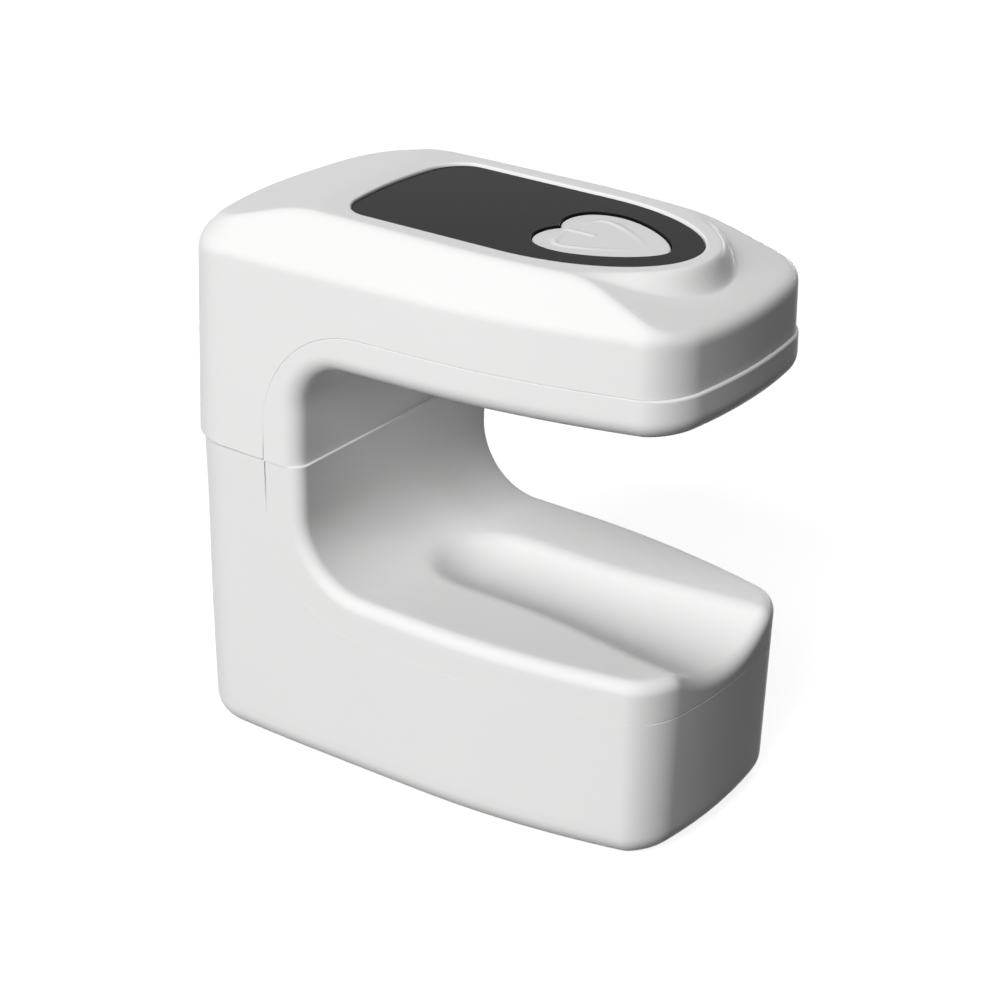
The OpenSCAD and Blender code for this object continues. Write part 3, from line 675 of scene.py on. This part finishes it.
tau, line = fold_of(roof_at, ROOF_TAU, ROOF_X, upper_inset, PROUD)
total = length_of(line)
seam = seam_line(np.array([[SEAM_Q, PART_Z]]), *UPPER_SEAM)
seam_rise = UPPER_SEAM[1] - PART_Z
stops = [(RISE, seam_rise), (ROOF_TAU, seam_rise + UPPER_SEAM[2] * math.pi / 2)]
stations, tau, fold, fold_in, at_seam, seam_at, seam_in = liner_edges(tau, line, seam, stops, 0.34, 1)
soft = 2.0
radius = 0.05 + 0.2 * smooth((-outline_at(seam_at[:, 0])[2] - 0.45) / 0.4)
gap = 0.05 * (1 - smooth((at_seam - 1) / 3))
rows = wall_rows(seam_at, seam_in, seam_in, 0, gap, radius, upper_inset, fold + soft * fold_in, 8, PROUD)

# The roof goes on to the middle line, or to the lens opening's rounded edge.
ROUND = 0.35
opening = rounded_box(-5, 22, 10, 3, ROUND)
middle = join(ROOF_TAU + opening[:, 0] - ROOF_X, opening[:, 1])
middle = np.concatenate([[[0, 0]], middle])
box_start = middle[1, 0]
box_end = length_of(middle)
mid_run = paired(stations, [(0, 0), (ROOF_TAU + 0.1, box_start), (ROOF_TAU + 3.4, box_start + 8),
                            (total - 17, box_end - 10), (total - 11, box_end - 7),
                            (total - 5, box_end - 3), (total, box_end)])
first = int(np.searchsorted(mid_run, box_start))
mid_run[first] = box_start
mid = along(middle, mid_run)
mid[:first + 1, 1] = 0
mid[-1, 1] = 0
box_out = unit_sides(mid_run[first:] - box_start, middle[1:], 1)
box_out[[0, -1]] = (-1, 0), (1, 0)
mid_in = mid.copy()
mid_in[first:] -= ROUND * box_out
outer, inner = liner_skins(rows, roof_at, ROOF_TAU, ROOF_X, upper_inset, PROUD, soft,
                           (tau, fold, fold_in, seam_at), mid, mid_in, np.linspace(0, 1, 16)[1:])
hole = []
for t in np.linspace(0, math.pi / 2, 6):
    place = mid[first:] - box_out * ROUND * math.sin(t)
    hole.append(skin_point(roof_at, *place.T, 0) + (0, 0, ROUND * (1 - math.cos(t))))
hole += [skin_point(roof_at, *place.T, 0.6), inner[-1, first:]]
new_piece("throat_top", [outer, inner, np.stack(hole), np.stack([outer[0], inner[0]]),
                         np.stack([outer[:, 0], inner[:, 0]])], "upper_liner")
STAKE = [(0, 46.6), (0.8, 46.6), (0.8, 51.5), (0.6, 51.7), (0, 51.7)]
new_piece("throat_top_stakes", [lathe(STAKE, -8.5, 8, 24), lathe(STAKE, 25.2, 4, 24)], "upper_liner")


# Lower liner
# White plastic liner of the lower half: the throat wall, its wide arc and the finger bed
# with its groove in one piece. It is screwed to the lower shell, and its band shows.

BED_X, BED_Z, BED_R, BED_SLOPE = -4.9, 28.4, 7.4, 0.017
FALL = PART_Z - BED_Z
BED_TAU = FALL + BED_R * math.pi / 2
GROOVE_X = 0.5
LOWER_SEAM = (BED_X, BED_Z, 11.9, -1, -BED_SLOPE)


def lower_inset(q, z):
    """Draft of the lower half: a step of 0.2 at the parting, a little more round the
    back, then 1.45 degrees inwards below it."""
    x = outline_at(q)[0]
    step = 0.2 + 0.25 * smooth((-16 - x) / 10) * smooth((z - 10) / 20)
    return step + (PART_Z - z) * math.tan(math.radians(1.45))


def groove_height(x, y):
    """Floor of the finger groove: an arc across the lamp whose half width grows from 6.4
    to 8.6 and whose depth grows from 1.6 towards the mouth. Its back end is round."""
    ahead = smooth((x - 8) / 22)
    half = 6.4 + 2.2 * ahead
    deep = 1.6 + 0.0127 * np.maximum(x - GROOVE_X, 0) + 0.45 * ahead
    radius = (half ** 2 + deep ** 2) / (2 * deep)
    off = np.sqrt(y ** 2 + np.minimum(x - GROOVE_X, 0) ** 2)
    level = BED_Z - BED_R - BED_SLOPE * (np.maximum(x, GROOVE_X) - BED_X)
    rise = radius - np.sqrt(np.maximum(radius ** 2 - off ** 2, 0))
    return np.where(off < radius * 0.75, level - deep + rise, 99)


def bed_at(tau, y, lift):
    """Side-view place x, z at distance tau along the bed line from the parting, moved
    lift into the plastic: down the throat wall, a quarter turn of radius BED_R about
    (BED_X, BED_Z), then forward with a slight fall, and down in the groove."""
    turn = np.clip((tau - FALL) / BED_R, 0, math.pi / 2)
    ahead = np.maximum(tau - BED_TAU, 0)
    x = BED_X - (BED_R + lift) * np.cos(turn) + ahead
    z = BED_Z - (BED_R + lift) * np.sin(turn) - np.minimum(tau - FALL, 0) - BED_SLOPE * ahead
    return x, soft_min(z, groove_height(x, y) - lift, 0.5)


tau, line = fold_of(bed_at, BED_TAU, BED_X, lower_inset, 0)
total = length_of(line)
seam = seam_line(np.array([[SEAM_Q, PART_Z]]), *LOWER_SEAM)
stops = [(FALL, FALL), (BED_TAU, FALL + LOWER_SEAM[2] * math.pi / 2)]
stations, tau, fold, fold_in, at_seam, seam_at, seam_in = liner_edges(tau, line, seam, stops, 0.3, -1)
soft = 1.4
nose = smooth((-outline_at(seam_at[:, 0])[2] - 0.6) / 0.3)
radius = 0.015 + 0.04 * nose
gap = 0.08 * (1 - smooth((at_seam - 1.5) / 5)) + 0.02 * nose
rows = wall_rows(seam_at, seam_in, seam_in, 0, gap, radius, lower_inset, fold + soft * fold_in, 8)
mid_tau = paired(stations, [(0, 0), (BED_TAU, BED_TAU), (total - 18, BED_TAU + 22),
                            (total - 6, BED_TAU + 29), (total, BED_TAU + 30)])
mid = join(mid_tau, 0.0)
outer, inner = liner_skins(rows, bed_at, BED_TAU, BED_X, lower_inset, 0, soft,
                           (tau, fold, fold_in, seam_at), mid, mid, np.linspace(0, 1, 60)[1:])
outer[:, -1, 1] = 0
inner[:, -1, 1] = 0
new_piece("throat_bed", [outer, inner, np.stack([outer[0], inner[0]]),
                         np.stack([outer[:, 0], inner[:, 0]])], "lower_liner")
LINER_BOSS = [(0, 15.4), (0.9, 15.4), (0.9, 8.15), (1.05, 8), (2.55, 8), (2.7, 8.15), (2.7, 19.4),
              (0, 19.4)]
boss = lathe(LINER_BOSS, *FRONT_SCREW)
under_bed = bed_at(BED_TAU + boss[..., 0] - BED_X, boss[..., 1], 0)[1] - 0.6
boss[..., 2] = np.minimum(boss[..., 2], under_bed)
new_piece("throat_bed_bosses", [boss], "lower_liner")


# Lower shell
# Lower half of the case, in white plastic 1.5 mm thick: the tub that holds the battery.
# Four screws rise through it, and the charging socket shows in a slot at its back.

BASE_Z = 0.2
FLOOR_Z = 1.8
BASE_ROUND = 2.5
FLOOR_ROUND = 1.6
past, edge, into, lean = shell_edge(LOWER_SEAM, -1)
reach = paired(past, [(past[0], 0), (0, 13.8), (5.6, 18), (past[-1], PLAN_END)])
nose = smooth((-outline_at(edge[:, 0])[2] - 0.6) / 0.3)
radius = 0.015 + 0.1 * (1 - smooth((past + 0.3) / 0.6)) + 0.04 * nose
gap = 0.08 * smooth((past + 0.3) / 0.4) * (1 - smooth((past - 1.5) / 5)) + 0.02 * nose
target = join(reach, BASE_Z + BASE_ROUND)
rows = wall_rows(edge, into, lean, 2.2, gap, radius, lower_inset, target, 24)
for t in np.linspace(math.pi / 2, 0, 10)[1:]:
    place = join(reach, BASE_Z + BASE_ROUND * (1 - math.cos(t)))
    rows.append(on_wall(place, lower_inset, BASE_ROUND * (1 - math.sin(t))))
under = rows[-1]
spine = join(np.clip(under[:, 0], -20, 20), 0)
for t in np.linspace(0, 1, 6)[1:]:
    rows.append(flat_row(under[:, :2] * (1 - t) + spine * t, BASE_Z))
outer = np.stack(rows)
floor_in = wall_point(reach, FLOOR_Z, lower_inset(reach, FLOOR_Z) + WALL + FLOOR_ROUND)
low = join(reach, FLOOR_Z + FLOOR_ROUND)
rows = [flat_row(spine * (1 - t) + floor_in[:, :2] * t, FLOOR_Z) for t in np.linspace(0, 1, 6)]
rows += [on_wall(low * (1 - t) + edge * t, lower_inset, WALL) for t in np.linspace(0, 1, 7)]
rows.append(outer[0])
lower_shell = new_piece("case_bottom", [outer, np.stack(rows)], "lower_shell")


def capsule(width, height, count=16):
    """Half outline of a capsule in y and z, from the middle of its top to its bottom."""
    r = height / 2
    turn = np.linspace(0, math.pi, count)
    side = join((width - height) / 2 + r * np.sin(turn), r * np.cos(turn))
    return np.concatenate([[[0, r]], side, [[0, -r]]])


def capsule_tube(profile, width, height, z):
    """Grid of capsules along x: the profile lists x and how far each ring is moved in."""
    rows = []
    for x, inset in profile:
        ring = capsule(width - 2 * inset, height - 2 * inset)
        rows.append(join(x, ring[:, 0], ring[:, 1] + z))
    return np.stack(rows)


def box_grid(low, high):
    """Closed grid of a box: a loop over its x and z sides, drawn in to a line at each end."""
    x = np.array([low[0], high[0], high[0], low[0], low[0]])
    z = np.array([low[2], low[2], high[2], high[2], low[2]])
    middle = np.full(5, (low[2] + high[2]) / 2)
    ends = [join(x, np.full(5, y), flat)
            for y, flat in ((low[1], middle), (low[1], z), (high[1], z), (high[1], middle))]
    return np.stack(ends)


def carve(piece, cutters):
    """Cut the closed solids of a mesh out of a piece."""
    weld(cutters)
    tool = bpy.data.objects.new("cutter", cutters)
    bpy.context.scene.collection.objects.link(tool)
    cut = piece.modifiers.new("cut", "BOOLEAN")
    cut.operation = "DIFFERENCE"
    cut.solver = "MANIFOLD"
    cut.object = tool
    graph = bpy.context.evaluated_depsgraph_get()
    mesh = bpy.data.meshes.new_from_object(piece.evaluated_get(graph))
    piece.modifiers.clear()
    piece.data = mesh
    shade(mesh, 34)
    bpy.data.objects.remove(tool)


# Dishes and wells for the feet and screws, and the slot of the charging socket.
USB_Z = 7.63
DISH = [(0, 2.6), (2.2, 2.6), (2.2, 1.2), (3.4, 1.2), (3.5, 1.1), (3.5, 0.45), (3.65, -1), (0, -1)]
SLOT = [(-31, 1.88), (-31, -0.35), (-29.2, -0.35), (-29.08, -0.2), (-28.95, -0.08), (-28.75, 0),
        (-26, 0), (-26, 1.88)]
carve(lower_shell, grid_mesh("cutters", [lathe(DISH, *REAR_SCREW), lathe(DISH, *FRONT_SCREW),
                                         capsule_tube(SLOT, 9.44, 3.76, USB_Z)]))
REAR_POST = [(2.2, 1.3), (3.1, 1.3), (3.1, PART_Z - 0.15), (2.95, PART_Z), (1.4, PART_Z),
             (1.25, PART_Z - 0.15), (1.25, 29), (2.2, 29), (2.2, 1.3)]
FRONT_POST = [(2.2, 1.3), (3.1, 1.3), (3.1, 7.85), (2.95, 8), (1.4, 8), (1.25, 7.85), (1.25, 5),
              (2.2, 5), (2.2, 1.3)]
new_piece("case_bottom_posts", [lathe(REAR_POST, *REAR_SCREW), lathe(FRONT_POST, *FRONT_SCREW),
                                box_grid((-27.2, 4, 1.5), (-14.2, 5.2, 5))], "lower_shell")


# Window
# Polished black window of tinted plastic, 1.2 mm thick, glued on the ledge inside the
# rim. The heart key passes through it, and the display glows behind its back half.

polished = surface("black_window", (0.005, 0.005, 0.006), (0.007, 0.007, 0.008), 90, 900, 0.2,
                   0.03, 0.06, IOR=1.105)
pane = plate("pane", [whole(WINDOW + 0.05 * WINDOW_IN)[::4], whole(half_heart(0.1))[::2]],
             RECESS_Z, 59.7, 0.06)
finish_piece(pane, "window", "display_window", polished, "black_window")


# Heart key
# Satin white push key in the shape of a heart, with a flange below the case that keeps
# it in. A raised stroke and two arcs on it form the power sign. It slides down.

satin = surface("heart_key", (0.865, 0.865, 0.86), (0.885, 0.885, 0.88), 80, 2200, 1,
                0.34, 0.42, Specular_IOR_Level=0.08)
KEY_Z = 59.5
FLANGE_Z = 56.6
RIDGE = 0.1
RIDGE_SIDE = 0.5
KEY_ROUND = 0.2
arc = np.concatenate([bezier((8.9, 1.5), (8.6, 3.6), (9.4, 4.6), (10.9, 4.1), 120),
                      bezier((10.9, 4.1), (12.6, 3.6), (15.2, 2.2), (17, 0.3), 120)[1:]])
arc_fade = np.minimum(1, np.minimum(np.arange(239) / 30, np.arange(238, -1, -1) / 110))
stroke = join(np.linspace(8.3, 11.2, 60), 0)


def ridge_height(points):
    """Height of the power sign: RIDGE times the square of a cosine that reaches 0 at
    RIDGE_SIDE from the stroke and the arcs. The arcs fade out towards their ends."""
    flat = join(points[:, 0], np.abs(points[:, 1]))
    step = np.linalg.norm(flat[:, None, :] - arc[None, :, :], axis=2)
    off_arc = np.minimum(step.min(axis=1) / RIDGE_SIDE, 1)
    off_stroke = np.minimum(gap_to(flat, stroke) / RIDGE_SIDE, 1)
    bow = np.cos(math.pi / 2 * off_arc) ** 2 * arc_fade[step.argmin(axis=1)]
    return RIDGE * np.maximum(bow, np.cos(math.pi / 2 * off_stroke) ** 2)


line = half_heart(0)
heart = along(line, np.linspace(0, length_of(line), 220))
heart_in = inward(heart)
centre = np.array([11.5, 0])
rows = []
for t in np.linspace(0, 1, 80):
    place = centre * (1 - t) + (heart + KEY_ROUND * heart_in) * t
    rows.append(flat_row(place, KEY_Z + ridge_height(place)))
for back, deep in reversed(round_off(KEY_ROUND, 6)[:-1]):
    rows.append(flat_row(heart + back * heart_in, KEY_Z - deep))
flange = half_heart(1.0)
flange = along(flange, np.linspace(0, length_of(flange), 220))
rows += [flat_row(heart, CEILING_Z), flat_row(flange, CEILING_Z), flat_row(flange, FLANGE_Z),
         flat_row(centre + 0 * flange, FLANGE_Z)]
new_piece("heart", [np.stack(rows)], "power_button", satin, "heart_key", "button", 40)


# Feet
# Four moulded pads of black rubber, stuck into dishes in the base, where they hide the
# heads of the case screws.

rubber = surface("foot_rubber", (0.028, 0.028, 0.028), (0.04, 0.04, 0.04), 300, 4000, 10,
                 0.75, 0.9)
FOOT = [(0, 0), (3.05, 0), (3.22, 0.04), (3.35, 0.15), (3.4, 0.32), (3.4, 1.12), (3.32, 1.2), (0, 1.2)]
new_piece("feet", [lathe(FOOT, *REAR_SCREW), lathe(FOOT, *FRONT_SCREW)], "rubber_feet", rubber,
          "foot_rubber")


# Steel parts
# Charging socket's shell of bright plated steel, with a rolled lip, soldered to its
# board; the self-tapping screws; and the snap dome under the switch's plunger.

def dress(material, *names):
    """Give CAD nodes a material."""
    for name in names:
        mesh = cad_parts[name].data
        mesh.materials.clear()
        mesh.materials.append(material)


# Fine lines drawn out along x, in colour, height and polish.
steel, tree, shader = new_material("steel")
shader.inputs["Metallic"].default_value = 1.0
lines = add_noise(tree, 900.0, 3.0, (1.0, 6.0, 6.0))
add_colour(tree, shader, lines, (0.5, 0.5, 0.5), (0.68, 0.68, 0.67))
add_finish(tree, shader, lines, 1.0, lines, 0.18, 0.34)
LIP = [(-21.6, 1.63), (-21.6, 0.1), (-21.7, 0), (-28.78, 0), (-28.86, 0.03), (-28.9, 0.11),
       (-28.9, 0.19), (-28.86, 0.27), (-28.78, 0.3), (-22.4, 0.3), (-22.4, 1.63)]
new_piece("socket", [capsule_tube(LIP, 8.94, 3.26, USB_Z)], "usb_shell", steel, "steel")
dress(steel, "case_screws", "board_screws", "switch_dome")


# Socket's tongue
# Black plastic tongue on the socket's middle plane, with a row of gold contacts on each
# side. Its plug fills the back of the shell.

def add_math(tree, operation, first, second):
    """A math node on two sockets or numbers."""
    node = add_node(tree, "Math")
    node.operation = operation
    for slot, value in zip(node.inputs, (first, second)):
        if isinstance(value, (int, float)):
            slot.default_value = value
        else:
            link(value, slot)
    return node.outputs[0]


def place_axes(tree):
    """Object coordinates as three sockets."""
    place = add_node(tree, "TexCoord")
    parts = add_node(tree, "SeparateXYZ")
    link(place.outputs["Object"], parts.inputs[0])
    return parts.outputs


def blend(tree, share, first, second):
    """Colour between two colours or sockets, by a share."""
    node = add_node(tree, "Mix")
    node.data_type = "RGBA"
    link(share, node.inputs["Factor"])
    for slot, value in zip(node.inputs[6:8], (first, second)):
        if isinstance(value, tuple):
            slot.default_value = (*value, 1)
        else:
            link(value, slot)
    return node.outputs[2]


def paint_over(material, share_of, colour, **values):
    """Put a second colour over a material where share_of gives 1, and blend other shader
    inputs to new values there."""
    tree = material.node_tree
    shader = tree.nodes["Principled BSDF"]
    share = share_of(tree)
    under = shader.inputs["Base Color"].links[0].from_socket
    link(blend(tree, share, under, colour), shader.inputs["Base Color"])
    for key, value in values.items():
        slot = shader.inputs[key.replace("_", " ")]
        gain = add_math(tree, "MULTIPLY", share, value - slot.default_value)
        link(add_math(tree, "ADD", gain, slot.default_value), slot)


def contacts(tree):
    """1 on twelve stripes 0.5 mm apart on the tongue's two faces."""
    x, y, z = place_axes(tree)
    stripe = add_math(tree, "PINGPONG", y, 0.25 * MM)
    stripe = add_math(tree, "GREATER_THAN", stripe, 0.13 * MM)
    ahead = add_math(tree, "LESS_THAN", x, -24.2 * MM)
    inside = add_math(tree, "LESS_THAN", add_math(tree, "ABSOLUTE", y, 0), 2.9 * MM)
    away = add_math(tree, "ABSOLUTE", add_math(tree, "SUBTRACT", z, USB_Z * MM), 0)
    face = add_math(tree, "GREATER_THAN", away, 0.345 * MM)
    both = add_math(tree, "MULTIPLY", add_math(tree, "MULTIPLY", stripe, ahead), inside)
    return add_math(tree, "MULTIPLY", both, face)


tongue = surface("tongue", (0.02, 0.02, 0.02), (0.03, 0.03, 0.03), 300, 3000, 2, 0.4, 0.5)
paint_over(tongue, contacts, (0.83, 0.6, 0.25), Metallic=1.0)
dress(tongue, "usb_tongue")


# Boards
# Glass-fibre boards in green lacquer with copper tracks under it: the control board on
# three screws under the window, and the charging board in rails behind the socket.

def tracks(tree):
    """1 on the tracks and pads: near the cell centres of a square-cut cell pattern."""
    place = add_node(tree, "TexCoord")
    cells = add_node(tree, "TexVoronoi", Scale=420.0, Randomness=0.7)
    cells.distance = "MANHATTAN"
    link(place.outputs["Object"], cells.inputs["Vector"])
    return add_math(tree, "LESS_THAN", cells.outputs["Distance"], 0.62)


green = surface("board_green", (0.012, 0.11, 0.045), (0.016, 0.13, 0.055), 200, 1800, 2,
                0.25, 0.35)
paint_over(green, tracks, (0.025, 0.2, 0.085))
dress(green, "control_board", "charge_board")


# Parts on the boards
# Black moulded chips and switch body, ceramic chip parts, a ferrite coil, and the ivory
# plunger of the push switch. All are soldered on, and the plunger slides in the switch.

def beyond(axis, limit, operation="GREATER_THAN"):
    """A share for paint_over: 1 beyond a limit in millimetres on an axis, or below it."""
    return lambda tree: add_math(tree, operation, place_axes(tree)[axis], limit * MM)


resin = surface("chip_black", (0.018, 0.018, 0.018), (0.03, 0.03, 0.03), 400, 5000, 6,
                0.5, 0.65)
ceramic = surface("small_parts", (0.36, 0.25, 0.14), (0.5, 0.38, 0.24), 500, 4000, 3,
                  0.4, 0.6)
paint_over(ceramic, beyond(0, 17), (0.09, 0.09, 0.095))
ivory = surface("switch_ivory", (0.76, 0.71, 0.58), (0.8, 0.76, 0.64), 300, 3000, 2, 0.35, 0.45)
dress(resin, "control_chip", "switch_body")
dress(ceramic, "board_parts", "charge_parts")
dress(ivory, "switch_plunger")


# Display
# Two-digit display on the control board: a grey moulded frame with a dark pane over
# each digit, close under the window.

frame_grey = surface("display_grey", (0.5, 0.5, 0.48), (0.56, 0.56, 0.54), 200, 3000, 3,
                     0.4, 0.5)
paint_over(frame_grey, beyond(2, 57.32), (0.05, 0.02, 0.02))
dress(frame_grey, "display_module")


# Lamp
# White board of light-emitting diodes on four stakes, each diode a white package with a
# phosphor dome below it, behind a clear lens that lies in the roof's opening.

def softened(name, node, width, material, slot):
    """Copy of a CAD solid with its flat faces joined and its sharp edges rounded off."""
    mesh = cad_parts[node].data.copy()
    made = bmesh.new()
    made.from_mesh(mesh)
    bmesh.ops.remove_doubles(made, verts=made.verts, dist=0.000002)
    bmesh.ops.dissolve_limit(made, angle_limit=math.radians(1), verts=made.verts, edges=made.edges)
    sharp = [e for e in made.edges if e.is_manifold and e.calc_face_angle() > math.radians(50)]
    bmesh.ops.bevel(made, geom=sharp, offset=width * MM, segments=3, profile=0.5,
                    affect="EDGES", clamp_overlap=True)
    made.to_mesh(mesh)
    made.free()
    return finish_piece(mesh, name, node, material, slot, sharp=30)


lacquer = surface("board_white", (0.78, 0.78, 0.76), (0.82, 0.82, 0.8), 200, 1800, 2, 0.25, 0.35)
phosphor = surface("led_yellow", (0.82, 0.82, 0.8), (0.86, 0.86, 0.84), 300, 3000, 2, 0.3, 0.4)
paint_over(phosphor, beyond(2, 49.69, "LESS_THAN"), (0.83, 0.72, 0.2))
clear = surface("clear_lens", (0.93, 0.96, 1.0), (0.95, 0.98, 1.0), 90, 1500, 3, 0.05, 0.09,
                Transmission_Weight=1.0, IOR=1.49)
dress(lacquer, "led_board")
dress(phosphor, "led_beads")
softened("lens", "lamp_lens", 0.12, clear, "clear_lens")


# Battery
# Pouch cell in satin aluminium foil, on a strip of foam tape on the case's floor, and
# the pairs of red and black wires from it and between the boards.

foil = surface("battery_foil", (0.68, 0.69, 0.71), (0.74, 0.75, 0.77), 200, 260, 60, 0.28, 0.42,
               Metallic=1.0)
foam = surface("foam", (0.09, 0.09, 0.09), (0.14, 0.14, 0.14), 500, 3500, 50, 0.9, 1.0)
wire = surface("wire", (0.015, 0.015, 0.015), (0.025, 0.025, 0.025), 300, 3000, 2, 0.35, 0.5)
paint_over(wire, beyond(1, 0, "LESS_THAN"), (0.5, 0.02, 0.02))
softened("battery", "battery_cell", 0.6, foil, "battery_foil")
dress(foam, "battery_pad")
dress(wire, "battery_leads", "power_leads", "led_leads")


# Camera, light, floor
# The camera solved from the photograph; one large soft lamp in front and above, and three
# weak ones; and a floor and a world that show white and give the object little light.

azimuth, elevation, roll = [math.radians(a) for a in (34.53423967, 25.26514522, 1.15417038)]
target = Vector((0.70269, 0.22561, 28.08311)) * MM
back = Vector((math.sin(azimuth) * math.cos(elevation), -math.cos(azimuth) * math.cos(elevation),
               math.sin(elevation)))
side = Vector((0, 0, 1)).cross(back).normalized()
over = back.cross(side)
right = side * math.cos(roll) + over * math.sin(roll)
up = over * math.cos(roll) - side * math.sin(roll)
lens = bpy.data.cameras.new("camera")
lens.sensor_width = 36
lens.lens = 2.648266 * 36
lens.clip_start = 0.01
lens.clip_end = 20
camera = bpy.data.objects.new("camera", lens)
bpy.context.scene.collection.objects.link(camera)
turned = Matrix((right, up, back)).transposed().to_4x4()
turned.translation = target + back * 0.275486
camera.matrix_world = turned
bpy.context.scene.camera = camera

# Rectangular softboxes: name, place and size in metres, and power in watts.
AIM = Vector((0, 0, 0.03))
for name, where, size, power in (("key", (0.12, -1.98, 1.34), (1.4, 1.4), 63.5),
                                 ("rear fill", (-0.3, 1.95, 0.1), (0.8, 0.3), 10),
                                 ("side fill", (-2.0, -0.5, 0.1), (0.8, 0.8), 4.0),
                                 ("far top light", (0.0, 0.62, 1.4), (0.7, 0.7), 3.4)):
    light = bpy.data.lights.new(name, "AREA")
    light.shape = "RECTANGLE"
    light.size, light.size_y = size
    light.energy = power
    lamp = bpy.data.objects.new(name, light)
    bpy.context.scene.collection.objects.link(lamp)
    lamp.location = where
    lamp.rotation_euler = (Vector(where) - AIM).to_track_quat("Z", "Y").to_euler()


def seen_rays(tree):
    """1 for the rays that show the background: from the camera, a gloss or a clear piece."""
    rays = add_node(tree, "LightPath").outputs
    seen = add_math(tree, "MAXIMUM", rays["Is Camera Ray"], rays["Is Glossy Ray"])
    return add_math(tree, "MAXIMUM", seen, rays["Is Transmission Ray"])


world = bpy.data.worlds.new("world")
bpy.context.scene.world = world
world.use_nodes = True
tree = world.node_tree
shader = tree.nodes["Background"]
level = add_node(tree, "MapRange", To_Min=0.004, To_Max=1.0)
link(seen_rays(tree), level.inputs["Value"])
link(level.outputs[0], shader.inputs["Strength"])
shader.inputs["Color"].default_value = (1, 1, 1, 1)

bpy.ops.mesh.primitive_plane_add(size=6, location=(0, 0, 0))
floor = bpy.context.object
floor.name = "floor"
paint = bpy.data.materials.new("floor")
paint.use_nodes = True
tree = paint.node_tree
tree.nodes.clear()
out = add_node(tree, "OutputMaterial")
mix = add_node(tree, "MixShader")
both = add_node(tree, "AddShader")
dark = add_node(tree, "BsdfDiffuse", Color=(0.02, 0.02, 0.02, 1))
lit = add_node(tree, "BsdfDiffuse", Color=(0.4, 0.4, 0.4, 1))
glow = add_node(tree, "Emission", Strength=0.87)
link(seen_rays(tree), mix.inputs[0])
link(lit.outputs[0], both.inputs[0])
link(glow.outputs[0], both.inputs[1])
link(dark.outputs[0], mix.inputs[1])
link(both.outputs[0], mix.inputs[2])
link(mix.outputs[0], out.inputs[0])
floor.data.materials.append(paint)
bpy.context.scene.view_settings.view_transform = "Standard"
